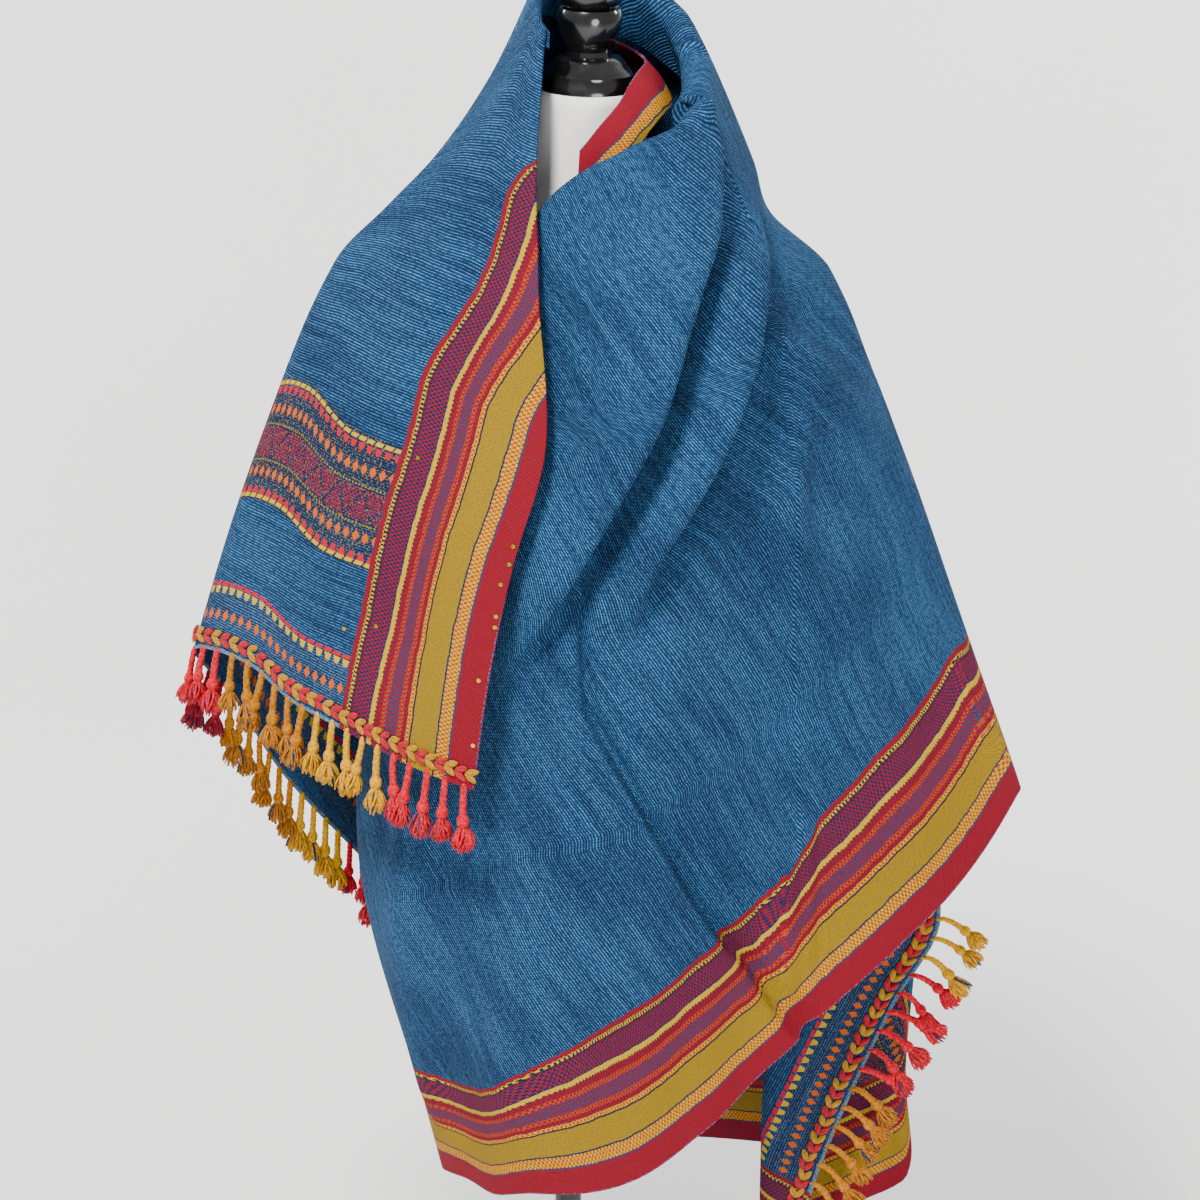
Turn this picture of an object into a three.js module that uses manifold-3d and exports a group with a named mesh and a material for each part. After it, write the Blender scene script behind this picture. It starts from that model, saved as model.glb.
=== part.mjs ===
// A hand-loomed wool shawl wound about a limbless dress form.
// Millimetres, +Z up, the form faces -Y, and the origin is under the middle of the base.
//
// The shawl starts at its fringed front end, hangs over one shoulder, runs across the back,
// makes a wing on the other side, crosses the chest as a cowl, passes under its own front end,
// goes round the back a second time and comes out below the wing as a folded tail.
// A turn is the angle travelled along that winding, in degrees, counted from the middle of
// the front: 90 is the form's right-hand side (-X), 180 the back, 270 the other side (+X),
// and 360 is the middle of the front again, one layer further in.

import * as THREE from 'three';
import { mergeVertices } from 'three/addons/utils/BufferGeometryUtils.js';
import Module from 'manifold-3d';

const wasm = await Module();
wasm.setup();

// ---------------------------------------------------------------- driving sizes

const WALL = 2; // thickness of the felted wool
const SEAM = 0.3; // space left between touching pieces
// Least distance from the form to the cloth's outer face, for its outer and its inner layer.
const LEAST_REST = { outer: 3.4, inner: 8.2 };
const INNER_LAYER_TURN = 385; // past this turn the winding is the inner layer

const NECK_TOP = 1350;
const TORSO_BOTTOM = 610;
const POLE_RADIUS = 12;
const BASE_RADIUS = 170;
const BASE_THICKNESS = 16;

const CORD_RADIUS = 2.4;
const TASSEL_LENGTH = 60;
const FRINGE_STRIP = { height: 5, thickness: 2.6, clearance: 0.7 };
const TASSEL_SPACING = { front: 16.8, rear: 19.5 };
const BRAID = { width: 9, thickness: 1.6, inset: 5 };

// ---------------------------------------------------------------- finishes

const finish = (color, roughness, metalness = 0) =>
  new THREE.MeshStandardMaterial({ color, roughness, metalness });

const INDIGO = 0x24527c;
const CRIMSON = 0xc02a42;
const MUSTARD = 0xc9a227;
const WHITE = 0xe9e8e4;
const BLACK = 0x121214;

// ---------------------------------------------------------------- tables

function table(columns, rows) {
  return rows.map((row) => Object.fromEntries(columns.map((name, k) => [name, row[k]])));
}

// How far the winding stands from the axis at nine heights, a row for each section.
const STATION_HEIGHTS = {
  collar: 1430, neck: 1360, slope: 1290, yoke: 1245, shoulder: 1200,
  chest: 1050, waist: 850, hip: 650, knee: 400,
};
const STATIONS = table(['turn', ...Object.keys(STATION_HEIGHTS)], [
  [0, 38, 68, 122, 140, 158, 190, 200, 200, 196],
  [30, 38, 70, 114, 133, 152, 184, 202, 206, 200],
  [60, 37, 68, 106, 134, 158, 194, 224, 246, 250],
  [79, 37, 70, 116, 150, 186, 236, 276, 312, 330],
  [90, 37, 72, 122, 164, 205, 268, 333, 392, 440],
  [101, 40, 76, 120, 156, 188, 240, 284, 316, 330],
  [120, 50, 82, 116, 136, 156, 190, 222, 240, 244],
  [150, 70, 90, 106, 119, 132, 160, 186, 202, 208],
  [180, 78, 92, 104, 113, 122, 148, 172, 190, 202],
  [210, 82, 100, 112, 123, 134, 160, 188, 210, 222],
  [238, 78, 106, 126, 142, 166, 202, 248, 288, 310],
  [258, 68, 104, 134, 150, 192, 248, 312, 366, 400],
  [270, 62, 101, 134, 150, 201, 266, 344, 418, 480],
  [283, 60, 99, 130, 140, 182, 220, 262, 300, 330],
  [300, 60, 96, 128, 136, 162, 180, 194, 204, 212],
  [318, 58, 94, 126, 139, 152, 166, 172, 176, 180],
  [340, 60, 94, 122, 132, 143, 160, 165, 166, 164],
  [362, 60, 92, 116, 126, 136, 156, 162, 162, 148],
  [384, 56, 80, 102, 115, 128, 154, 158, 162, 132],
  [410, 54, 76, 100, 117, 134, 158, 162, 170, 118],
  [432, 54, 76, 110, 134, 158, 172, 178, 186, 124],
  [450, 54, 80, 120, 150, 180, 182, 186, 190, 132],
  [475, 54, 78, 112, 137, 162, 170, 172, 176, 132],
  [505, 54, 76, 96, 106, 116, 138, 146, 150, 128],
  [540, 54, 76, 90, 98, 106, 124, 134, 138, 126],
  [570, 54, 80, 100, 111, 122, 138, 152, 162, 166],
  [596, 54, 80, 104, 127, 150, 172, 192, 218, 226],
  [616, 54, 80, 110, 137, 164, 186, 226, 276, 296],
]);

// Where the winding is cut: its upper edge or fold, and its lower hem or fringed end.
const EDGES = [
  { turn: 24, top: 1400, hem: 806 },
  { turn: 45, top: 1406, hem: 818 },
  { turn: 70, top: 1412, hem: 834 },
  { turn: 90, top: 1418, hem: 850 },
  { turn: 109, top: 1424, hem: 683 },
  { turn: 121, top: 1428, hem: 600 },
  { turn: 140, top: 1431, hem: 500 },
  { turn: 160, top: 1432, hem: 402 },
  { turn: 174, top: 1432, hem: 328 },
  { turn: 200, top: 1428, hem: 398 },
  { turn: 225, top: 1414, hem: 505 },
  { turn: 250, top: 1392, hem: 640 },
  { turn: 270, top: 1370, hem: 732 },
  { turn: 282, top: 1358, hem: 632 },
  { turn: 303, top: 1342, hem: 506 },
  { turn: 323, top: 1328, hem: 450 },
  { turn: 345, top: 1312, hem: 416 },
  { turn: 373, top: 1282, hem: 396 },
  { turn: 395, top: 1220, hem: 372 },
  { turn: 420, top: 1140, hem: 361 },
  { turn: 450, top: 1080, hem: 338 },
  { turn: 480, top: 1062, hem: 316 },
  { turn: 540, top: 1050, hem: 295 },
  { turn: 596, top: 1040, hem: 296 },
  { turn: 616, top: 1030, hem: 330 },
];
const CORNER_TURN = 24; // the front edge of the fall, at its lower corner
const FAR_CORNER_TURN = 174; // the other corner of the fringed end, low on the back

// The front edge of the fall wanders sideways on its way down.
const FRONT_EDGE = [
  { height: 1410, turn: 46 },
  { height: 1360, turn: 32 },
  { height: 1300, turn: 21 },
  { height: 1200, turn: 13 },
  { height: 1100, turn: 9 },
  { height: 1000, turn: 16 },
  { height: 900, turn: 21 },
  { height: 806, turn: 24 },
];

// The turned-over upper edge: radius of its roll and the length tucked under.
const ROLLED_EDGE = [
  { turn: 24, radius: 3.2, tuck: 12 },
  { turn: 90, radius: 3.6, tuck: 14 },
  { turn: 135, radius: 7, tuck: 30 },
  { turn: 180, radius: 10, tuck: 46 },
  { turn: 250, radius: 12, tuck: 44 },
  { turn: 300, radius: 13, tuck: 36 },
  { turn: 340, radius: 11, tuck: 32 },
  { turn: 373, radius: 8, tuck: 24 },
  { turn: 395, radius: 3.2, tuck: 10 },
  { turn: 420, radius: 2.4, tuck: 6 },
  { turn: 616, radius: 2.4, tuck: 6 },
];

// Folds run from one point of the winding to another; bow bends them sideways.
// proud is their height, gentle and steep the widths of their two sides.
const FOLD_ENDS = ['fromTurn', 'fromHeight', 'toTurn', 'toHeight'];
const FOLDS = table(['name', ...FOLD_ENDS, 'bow', 'proud', 'gentle', 'steep'], [
  ['inner cowl roll', 296, 1368, 398, 800, 12, 17, 62, 13],
  ['outer cowl roll', 262, 1290, 372, 850, -38, 15, 46, 14],
  ['lap crease', 372, 985, 303, 520, 0, 8, 60, 9],
  ['shoulder ridge', 281, 1190, 296, 640, 10, 7, 40, 40],
  ['lower front swell', 352, 820, 388, 430, 0, 9, 55, 40],
  ['hip fold', 408, 800, 432, 380, 0, 9, 34, 26],
  ['fall hollow', 30, 1330, 56, 850, 0, -9, 34, 40],
  ['fall swell', 52, 1260, 70, 850, 0, 7, 30, 34],
  ['side-back fold', 104, 1260, 112, 700, 0, 10, 34, 26],
  ['left back fold', 128, 1330, 140, 480, 0, 15, 42, 26],
  ['middle back fold', 158, 1350, 170, 350, 0, 17, 38, 28],
  ['right back fold', 196, 1360, 206, 430, 0, 14, 40, 24],
  ['wing back fold', 222, 1320, 236, 560, 0, 12, 36, 24],
  ['wing edge fold', 246, 1240, 254, 650, 0, 8, 28, 22],
  ['under-back fold', 492, 1000, 500, 300, 0, 8, 36, 26],
  ['under-back second fold', 552, 1000, 560, 290, 0, 10, 36, 28],
]);
const DEGREE = 3.1; // millimetres that one degree of turn is worth when a fold is laid out

// Red selvedge lying round the neck, inside the cowl: its inner edge and its tucked edge.
const NECK_EDGE = [
  { turn: 208, reach: 47, height: 1380, tuckReach: 65.4, tuckHeight: 1354 },
  { turn: 240, reach: 46, height: 1375, tuckReach: 67.4, tuckHeight: 1346 },
  { turn: 270, reach: 46, height: 1373, tuckReach: 68.4, tuckHeight: 1342 },
  { turn: 300, reach: 47, height: 1370, tuckReach: 71.4, tuckHeight: 1338 },
  { turn: 320, reach: 51, height: 1361, tuckReach: 77.4, tuckHeight: 1328 },
  { turn: 337, reach: 61, height: 1348, tuckReach: 87.4, tuckHeight: 1312 },
  { turn: 352, reach: 72, height: 1334, tuckReach: 91.4, tuckHeight: 1298 },
  { turn: 364, reach: 82, height: 1316, tuckReach: 96.4, tuckHeight: 1284 },
];

// The tail hangs as a flat zigzag: places of its two folds and of its fringed edge.
const TAIL = [
  { height: 790, rightX: 296, rightY: 44, leftX: 214, leftY: 20, edgeX: 286, edgeY: 6 },
  { height: 604, rightX: 316, rightY: 40, leftX: 184, leftY: 6, edgeX: 330, edgeY: 12 },
  { height: 520, rightX: 313, rightY: 36, leftX: 180, leftY: -2, edgeX: 292, edgeY: 4 },
  { height: 429, rightX: 311, rightY: 32, leftX: 178, leftY: -8, edgeX: 255, edgeY: -8 },
  { height: 333, rightX: 322, rightY: 28, leftX: 179, leftY: -12, edgeX: 224, edgeY: -18 },
  { height: 215, rightX: 322, rightY: 26, leftX: 182, leftY: -14, edgeX: 204, edgeY: -22 },
];
const TAIL_HEMS = [334, 353, 240, 215]; // at its start, its right fold, its left fold and its edge
const TAIL_FOLD_RADIUS = 8;
const TAIL_START = { x: 0.6, y: -0.9 }; // how far past the under wrap's end it starts
const TAIL_ROWS = 13;
// Places of the tail's columns: 0 is its start, 1 and 2 are its folds and 3 is its fringed edge.
const TAIL_STOPS = [0, 0.25, 0.5, 0.75, 1, 1.16, 1.34, 1.5, 1.66, 1.84, 2, 2.16, 2.34, 2.6, 2.8, 3];

// The form's sections: half width, and depth to the front and to the back.
const TORSO = [
  { height: NECK_TOP, half: 44, front: 44, back: 44 },
  { height: 1318, half: 47, front: 48, back: 49 },
  { height: 1288, half: 56, front: 57, back: 58 },
  { height: 1262, half: 78, front: 68, back: 68 },
  { height: 1242, half: 116, front: 78, back: 76 },
  { height: 1224, half: 164, front: 92, back: 88 },
  { height: 1204, half: 186.5, front: 98, back: 95 },
  { height: 1170, half: 191, front: 110, back: 103 },
  { height: 1100, half: 179, front: 124, back: 110 },
  { height: 1020, half: 164, front: 134, back: 110 },
  { height: 950, half: 142, front: 116, back: 102 },
  { height: 870, half: 122, front: 98, back: 92 },
  { height: 780, half: 146, front: 106, back: 104 },
  { height: 680, half: 168, front: 116, back: 118 },
  { height: 640, half: 166, front: 114, back: 116 },
  { height: TORSO_BOTTOM, half: 152, front: 102, back: 104 },
];
const TORSO_SIDES = 24;

// ---------------------------------------------------------------- interpolation

// Smooth value of a column at a place, from rows sorted by key; it runs on straight past the ends.
function along(rows, key, column, place) {
  const last = rows.length - 1;
  let i = 0;
  while (i < last - 1 && place > rows[i + 1][key]) i += 1;
  const slope = (a, b) => (rows[b][column] - rows[a][column]) / (rows[b][key] - rows[a][key]);
  const bend = (k) => slope(Math.max(k - 1, 0), Math.min(k + 1, last));
  const [x0, x1] = [rows[i][key], rows[i + 1][key]];
  const [y0, y1] = [rows[i][column], rows[i + 1][column]];
  const span = x1 - x0;
  const t = (place - x0) / span;
  if (t < 0) return y0 + bend(i) * (place - x0);
  if (t > 1) return y1 + bend(i + 1) * (place - x1);
  const [t2, t3] = [t * t, t * t * t];
  return y0 * (2 * t3 - 3 * t2 + 1) + y1 * (3 * t2 - 2 * t3)
    + span * (bend(i) * (t3 - 2 * t2 + t) + bend(i + 1) * (t3 - t2));
}

const ascending = (rows, key) => [...rows].sort((a, b) => a[key] - b[key]);
const FRONT_EDGE_UP = ascending(FRONT_EDGE, 'height');
const TAIL_UP = ascending(TAIL, 'height');
const TORSO_UP = ascending(TORSO, 'height');
// From the lowest of the nine heights to the highest.
const LEVELS = Object.entries(STATION_HEIGHTS).map(([name, height]) => ({ name, height })).reverse();

const radians = THREE.MathUtils.degToRad;
const direction = (turn) => new THREE.Vector2(-Math.sin(radians(turn)), -Math.cos(radians(turn)));
const smooth = (t) => THREE.MathUtils.smoothstep(t, 0, 1);

function torsoReach(turn, height) {
  const level = THREE.MathUtils.clamp(height, TORSO_BOTTOM, NECK_TOP);
  const half = along(TORSO_UP, 'height', 'half', level);
  const d = direction(turn);
  const depth = along(TORSO_UP, 'height', d.y < 0 ? 'front' : 'back', level);
  return 1 / Math.hypot(d.x / half, d.y / depth);
}

// ---------------------------------------------------------------- the winding

// Each section's reach at one height, as rows of plan positions.
const sections = new Map();
function planRows(height) {
  const key = height.toFixed(2);
  if (!sections.has(key)) {
    sections.set(key, STATIONS.map((row) => {
      const profile = LEVELS.map((level) => ({ height: level.height, reach: row[level.name] }));
      const reach = along(profile, 'height', 'reach', height);
      const d = direction(row.turn);
      return { turn: row.turn, x: d.x * reach, y: d.y * reach };
    }));
  }
  return sections.get(key);
}

// The cloth with no folds in it, pushed off the form where it would cut into it.
const REST_BELOW = 40; // how far below the form's lower end and above its neck this still holds
const REST_ABOVE = 6;
function bare(turn, height) {
  const rows = planRows(height);
  const x = along(rows, 'turn', 'x', turn);
  const y = along(rows, 'turn', 'y', turn);
  const reach = Math.hypot(x, y);
  const rest = turn > INNER_LAYER_TURN ? LEAST_REST.inner : LEAST_REST.outer;
  const beside = height > TORSO_BOTTOM - REST_BELOW && height < NECK_TOP + REST_ABOVE;
  const least = beside ? torsoReach(turn, height) + rest : 0;
  const grow = Math.max(1, least / reach);
  return new THREE.Vector3(x * grow, y * grow, height);
}

function outward(turn, height) {
  const side = bare(turn + 0.5, height).sub(bare(turn - 0.5, height));
  const up = bare(turn, height + 4).sub(bare(turn, height - 4));
  return up.cross(side).normalize();
}

// A fold's middle line on the unrolled winding, sampled once.
const FOLD_STEPS = 16;
const FOLD_START = 0.22; // share of a fold's length over which it rises, and over which it dies out
const FOLD_END = 0.18;
const foldLines = FOLDS.map((fold) => {
  const a = new THREE.Vector2(fold.fromTurn * DEGREE, fold.fromHeight);
  const b = new THREE.Vector2(fold.toTurn * DEGREE, fold.toHeight);
  const across = new THREE.Vector2(b.y - a.y, a.x - b.x).normalize();
  const middle = a.clone().add(b).multiplyScalar(0.5).addScaledVector(across, 2 * fold.bow);
  const curve = new THREE.QuadraticBezierCurve(a, middle, b);
  return { ...fold, points: curve.getPoints(FOLD_STEPS) };
});

function relief(turn, height) {
  const spot = new THREE.Vector2(turn * DEGREE, height);
  let total = 0;
  for (const fold of foldLines) {
    let best = { distance: Infinity };
    for (let k = 0; k < FOLD_STEPS; k += 1) {
      const a = fold.points[k];
      const run = fold.points[k + 1].clone().sub(a);
      const off = spot.clone().sub(a);
      const t = THREE.MathUtils.clamp(off.dot(run) / run.lengthSq(), 0, 1);
      const distance = off.clone().addScaledVector(run, -t).length();
      if (distance < best.distance) best = { distance, side: run.cross(off), place: (k + t) / FOLD_STEPS };
    }
    const width = best.side > 0 ? fold.steep : fold.gentle;
    const ends = smooth(best.place / FOLD_START) * smooth((1 - best.place) / FOLD_END);
    total += fold.proud * ends * Math.exp(-((best.distance / width) ** 2));
  }
  return total;
}

function cloth(turn, height) {
  return bare(turn, height).addScaledVector(outward(turn, height), relief(turn, height));
}

// The front edge of the fall wanders, and the sections near it follow.
const WANDER_TURNS = 70;
function shifted(turn, height) {
  const fade = 1 - smooth((turn - CORNER_TURN) / WANDER_TURNS);
  return turn + (along(FRONT_EDGE_UP, 'height', 'turn', height) - CORNER_TURN) * fade;
}

// One column of the cloth, from its tucked edge over the roll and down to its hem.
const ROLL_STEPS = 3;
const CLOTH_ROWS = 21;
const HEM_ROW = 18; // height of the lowest row of facets
function column(turn) {
  const top = along(EDGES, 'turn', 'top', turn);
  const hem = along(EDGES, 'turn', 'hem', turn);
  const face = [];
  for (let j = 0; j <= CLOTH_ROWS; j += 1) {
    const height = j === CLOTH_ROWS ? hem : top + (hem + HEM_ROW - top) * (j / (CLOTH_ROWS - 1));
    face.push(cloth(shifted(turn, height), height));
  }
  const crest = face[0];
  const climb = crest.clone().sub(face[1]).normalize();
  const edgeTurn = shifted(turn, top);
  const out = outward(edgeTurn, top);
  out.addScaledVector(climb, -out.dot(climb)).normalize();
  const radius = along(ROLLED_EDGE, 'turn', 'radius', turn);
  const tuck = along(ROLLED_EDGE, 'turn', 'tuck', turn);
  const centre = crest.clone().addScaledVector(out, -radius);
  const roll = [];
  for (let k = 1; k <= ROLL_STEPS; k += 1) {
    const angle = Math.PI * k / ROLL_STEPS;
    const spot = centre.clone().addScaledVector(out, radius * Math.cos(angle));
    roll.push(spot.addScaledVector(climb, radius * Math.sin(angle)));
  }
  const under = roll[ROLL_STEPS - 1].clone().addScaledVector(climb, -tuck);
  return [under, ...roll.reverse(), ...face];
}

// Turns spaced evenly along the cloth, measured at the waist.
function evenTurns(from, to, cell) {
  const steps = 400;
  const lengths = [0];
  const at = (k) => from + (to - from) * (k / steps);
  const spot = (k) => bare(at(k), STATION_HEIGHTS.waist);
  for (let k = 1; k <= steps; k += 1) {
    lengths.push(lengths[k - 1] + spot(k).distanceTo(spot(k - 1)));
  }
  const count = Math.max(2, Math.round(lengths[steps] / cell));
  return Array.from({ length: count + 1 }, (_, i) => {
    const wanted = lengths[steps] * i / count;
    const k = Math.max(1, lengths.findIndex((length) => length >= wanted - 1e-6));
    const part = (wanted - lengths[k - 1]) / (lengths[k] - lengths[k - 1]);
    return i === 0 ? from : at(k - 1 + Math.min(1, part));
  });
}

// ---------------------------------------------------------------- walls

function gridNormals(grid) {
  return grid.map((line, i) => line.map((point, j) => {
    const before = grid[Math.max(i - 1, 0)][j];
    const after = grid[Math.min(i + 1, grid.length - 1)][j];
    const above = line[Math.max(j - 1, 0)];
    const below = line[Math.min(j + 1, line.length - 1)];
    return above.clone().sub(below).cross(after.clone().sub(before)).normalize();
  }));
}

const offsetGrid = (grid, distance) => {
  const normals = gridNormals(grid);
  const moved = (point, i, j) => point.clone().addScaledVector(normals[i][j], distance);
  return grid.map((line, i) => line.map((point, j) => moved(point, i, j)));
};

function geometryOf(points, faces) {
  const places = points.flatMap((point) => point.toArray());
  const geometry = new THREE.BufferGeometry();
  geometry.setAttribute('position', new THREE.Float32BufferAttribute(places, 3));
  geometry.setIndex(faces);
  return geometry;
}

function meshOf(name, points, faces, material) {
  const mesh = new THREE.Mesh(geometryOf(points, faces), material);
  mesh.name = name;
  return mesh;
}

// A closed wall between an outer and an inner grid of points.
function wallFaces(columns, rows) {
  const size = columns * rows;
  const at = (layer, i, j) => layer * size + i * rows + j;
  const faces = [];
  const quad = (a, b, c, d) => faces.push(a, b, c, a, c, d);
  for (let i = 0; i < columns - 1; i += 1) {
    for (let j = 0; j < rows - 1; j += 1) {
      quad(at(0, i, j), at(0, i + 1, j), at(0, i + 1, j + 1), at(0, i, j + 1));
      quad(at(1, i, j), at(1, i, j + 1), at(1, i + 1, j + 1), at(1, i + 1, j));
    }
    quad(at(0, i + 1, 0), at(0, i, 0), at(1, i, 0), at(1, i + 1, 0));
    quad(at(0, i, rows - 1), at(0, i + 1, rows - 1), at(1, i + 1, rows - 1), at(1, i, rows - 1));
  }
  for (let j = 0; j < rows - 1; j += 1) {
    quad(at(0, 0, j), at(0, 0, j + 1), at(1, 0, j + 1), at(1, 0, j));
    quad(at(0, columns - 1, j), at(1, columns - 1, j), at(1, columns - 1, j + 1), at(0, columns - 1, j + 1));
  }
  return faces;
}

// Faces come out pointing outwards whichever way the grid runs.
function signedVolume(points, faces) {
  let volume = 0;
  for (let k = 0; k < faces.length; k += 3) {
    volume += points[faces[k]].dot(points[faces[k + 1]].clone().cross(points[faces[k + 2]])) / 6;
  }
  return volume;
}

function closedMesh(name, points, faces, material) {
  if (signedVolume(points, faces) < 0) faces.reverse();
  return meshOf(name, points, faces, material);
}

function wall(name, outer, material, thickness = WALL, lift = 0) {
  const face = lift === 0 ? outer : offsetGrid(outer, lift);
  const inner = offsetGrid(outer, lift - thickness);
  const points = [...face.flat(), ...inner.flat()];
  return closedMesh(name, points, wallFaces(outer.length, outer[0].length), material);
}

// ---------------------------------------------------------------- the shawl's stretches

const shawl = new THREE.Group();
const indigo = () => finish(INDIGO, 0.9);

// Normals come from the cloth just before and after each column, so neighbours share them at
// a seam, where each keeps half of the gap.
const NORMAL_STEP = 0.4;
function stretch(name, from, to, cell) {
  const turns = evenTurns(from, to, cell);
  const outer = [];
  const inner = [];
  turns.forEach((turn, i) => {
    const [before, line, after] = [turn - NORMAL_STEP, turn, turn + NORMAL_STEP].map(column);
    const normals = gridNormals([before, line, after])[1];
    const inset = SEAM / 2 * ((i === 0) - (i === turns.length - 1));
    const side = new THREE.Vector3(-Math.cos(radians(turn)), Math.sin(radians(turn)), 0);
    const face = line.map((point) => point.clone().addScaledVector(side, inset));
    outer.push(face);
    inner.push(face.map((point, j) => point.clone().addScaledVector(normals[j], -WALL)));
  });
  const faces = wallFaces(outer.length, outer[0].length);
  shawl.add(closedMesh(name, [...outer.flat(), ...inner.flat()], faces, indigo()));
  return outer;
}

const WING_SEAM = 262;
const HIP_SEAM = 443;
const TAIL_SEAM = 616;
const FACET = { draped: 36, cowl: 26, under: 48 }; // widths of the facets
const fallGrid = stretch('shawl_front_fall', CORNER_TURN, FAR_CORNER_TURN, FACET.draped);
stretch('shawl_back_panel', FAR_CORNER_TURN, WING_SEAM, FACET.draped);
stretch('shawl_front_wrap', WING_SEAM, HIP_SEAM, FACET.cowl);
const underGrid = stretch('shawl_under_wrap', HIP_SEAM, TAIL_SEAM, FACET.under);

// The red selvedge round the neck curls over a little between its edge and its tucked edge.
const NECK_EDGE_COLUMNS = 15;
const NECK_EDGE_CURL = 3;
function neckEdge() {
  const [first, last] = [NECK_EDGE[0].turn, NECK_EDGE[NECK_EDGE.length - 1].turn];
  const grid = Array.from({ length: NECK_EDGE_COLUMNS }, (_, i) => {
    const turn = first + (last - first) * i / (NECK_EDGE_COLUMNS - 1);
    const row = (name) => along(NECK_EDGE, 'turn', name, turn);
    const d = direction(turn);
    return [0, 0.5, 1].map((t) => {
      const reach = row('reach') + (row('tuckReach') - row('reach')) * t;
      const level = row('height') + (row('tuckHeight') - row('height')) * t;
      return new THREE.Vector3(d.x * reach, d.y * reach, level + NECK_EDGE_CURL * Math.sin(Math.PI * t));
    });
  });
  shawl.add(wall('shawl_neck_edge', grid, finish(CRIMSON, 0.9)));
}
neckEdge();

// The tail starts at the end of the under wrap, turns at its right fold, runs to its left fold
// and back again to the fringed edge. A knot of its route is a place on it and the stop it serves.
function tailRoute(height) {
  const row = (name) => along(TAIL_UP, 'height', name, height);
  const seam = cloth(TAIL_SEAM, height);
  const off = TAIL_FOLD_RADIUS;
  const [rightX, rightY, leftX, leftY] = ['rightX', 'rightY', 'leftX', 'leftY'].map(row);
  const [edgeX, edgeY] = [row('edgeX'), row('edgeY')];
  return [
    { stop: 0, x: seam.x + TAIL_START.x, y: seam.y + TAIL_START.y },
    { stop: 0.75, x: rightX - off * 0.6, y: rightY + off },
    { stop: 1, x: rightX, y: rightY },
    { stop: 1.25, x: rightX - off * 0.8, y: rightY - off },
    { stop: 1.5, x: (rightX + leftX) / 2, y: (rightY + leftY) / 2 - off * 0.2 },
    { stop: 1.75, x: leftX + off, y: leftY + off },
    { stop: 2, x: leftX, y: leftY },
    { stop: 2.25, x: leftX + off, y: leftY - off },
    { stop: 2.6, x: (edgeX + leftX + off) / 2, y: (edgeY + leftY) / 2 - off },
    { stop: 3, x: edgeX, y: edgeY - off },
  ];
}

function tailGrid() {
  const top = TAIL[0].height;
  return TAIL_STOPS.map((stop) => {
    const k = Math.min(TAIL_HEMS.length - 2, Math.floor(stop));
    const hem = TAIL_HEMS[k] + (TAIL_HEMS[k + 1] - TAIL_HEMS[k]) * (stop - k);
    return Array.from({ length: TAIL_ROWS + 1 }, (_, j) => {
      const height = top + (hem - top) * (j / TAIL_ROWS);
      const route = tailRoute(height);
      const spots = route.map((knot) => new THREE.Vector3(knot.x, knot.y, 0));
      const places = route.map((knot, order) => ({ stop: knot.stop, order }));
      const share = along(places, 'stop', 'order', stop) / (route.length - 1);
      const curve = new THREE.CatmullRomCurve3(spots, false, 'centripetal');
      const spot = curve.getPoint(THREE.MathUtils.clamp(share, 0, 1));
      spot.z = height;
      return spot;
    });
  });
}
const tail = tailGrid();
shawl.add(wall('shawl_tail', tail, indigo()));

// ---------------------------------------------------------------- braids and fringes

// A cut edge as the wall has it: a post for each of its columns, with the cloth's directions.
function posts(grid, from, to) {
  const normals = gridNormals(grid);
  return grid.slice(from, to).map((line, k) => {
    const i = from + k;
    const point = line[line.length - 1];
    const beyond = point.clone().sub(line[line.length - 2]).normalize();
    return { point, beyond, out: normals[i][line.length - 1] };
  });
}

// A band on or beyond the cloth, between two distances from the edge and two depths from its face.
function band(edge, near, far, low, high) {
  const layer = (depth) => edge.flatMap((post) => [near, far].map((away) => (
    post.point.clone().addScaledVector(post.beyond, away).addScaledVector(post.out, depth)
  )));
  const points = [...layer(high), ...layer(low)];
  const faces = wallFaces(edge.length, 2);
  if (signedVolume(points, faces) < 0) faces.reverse();
  return { points, faces };
}

function braid(name, edge) {
  const lift = SEAM * 2;
  const far = -BRAID.inset - BRAID.width;
  const { points, faces } = band(edge, far, -BRAID.inset, lift, lift + BRAID.thickness);
  shawl.add(meshOf(name, points, faces, finish(MUSTARD, 0.85)));
}

// Seeded so that the locks are the same in every build.
const CYCLE = 2147483647;
let seed = 7;
function chance() {
  seed = (seed * 16807) % CYCLE;
  return seed / CYCLE;
}
const around = (middle, spread) => middle + spread * (chance() - 0.5);

// A lock's sections: how far down its length each is, and its half width in cord radii.
const LOCK = [
  { down: -0.04, half: 0.8 },
  { down: 0.45, half: 0.8 },
  { down: 0.55, half: 1.45 },
  { down: 1, half: 2.4 },
];
const LOCK_SIDES = 4;

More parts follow.
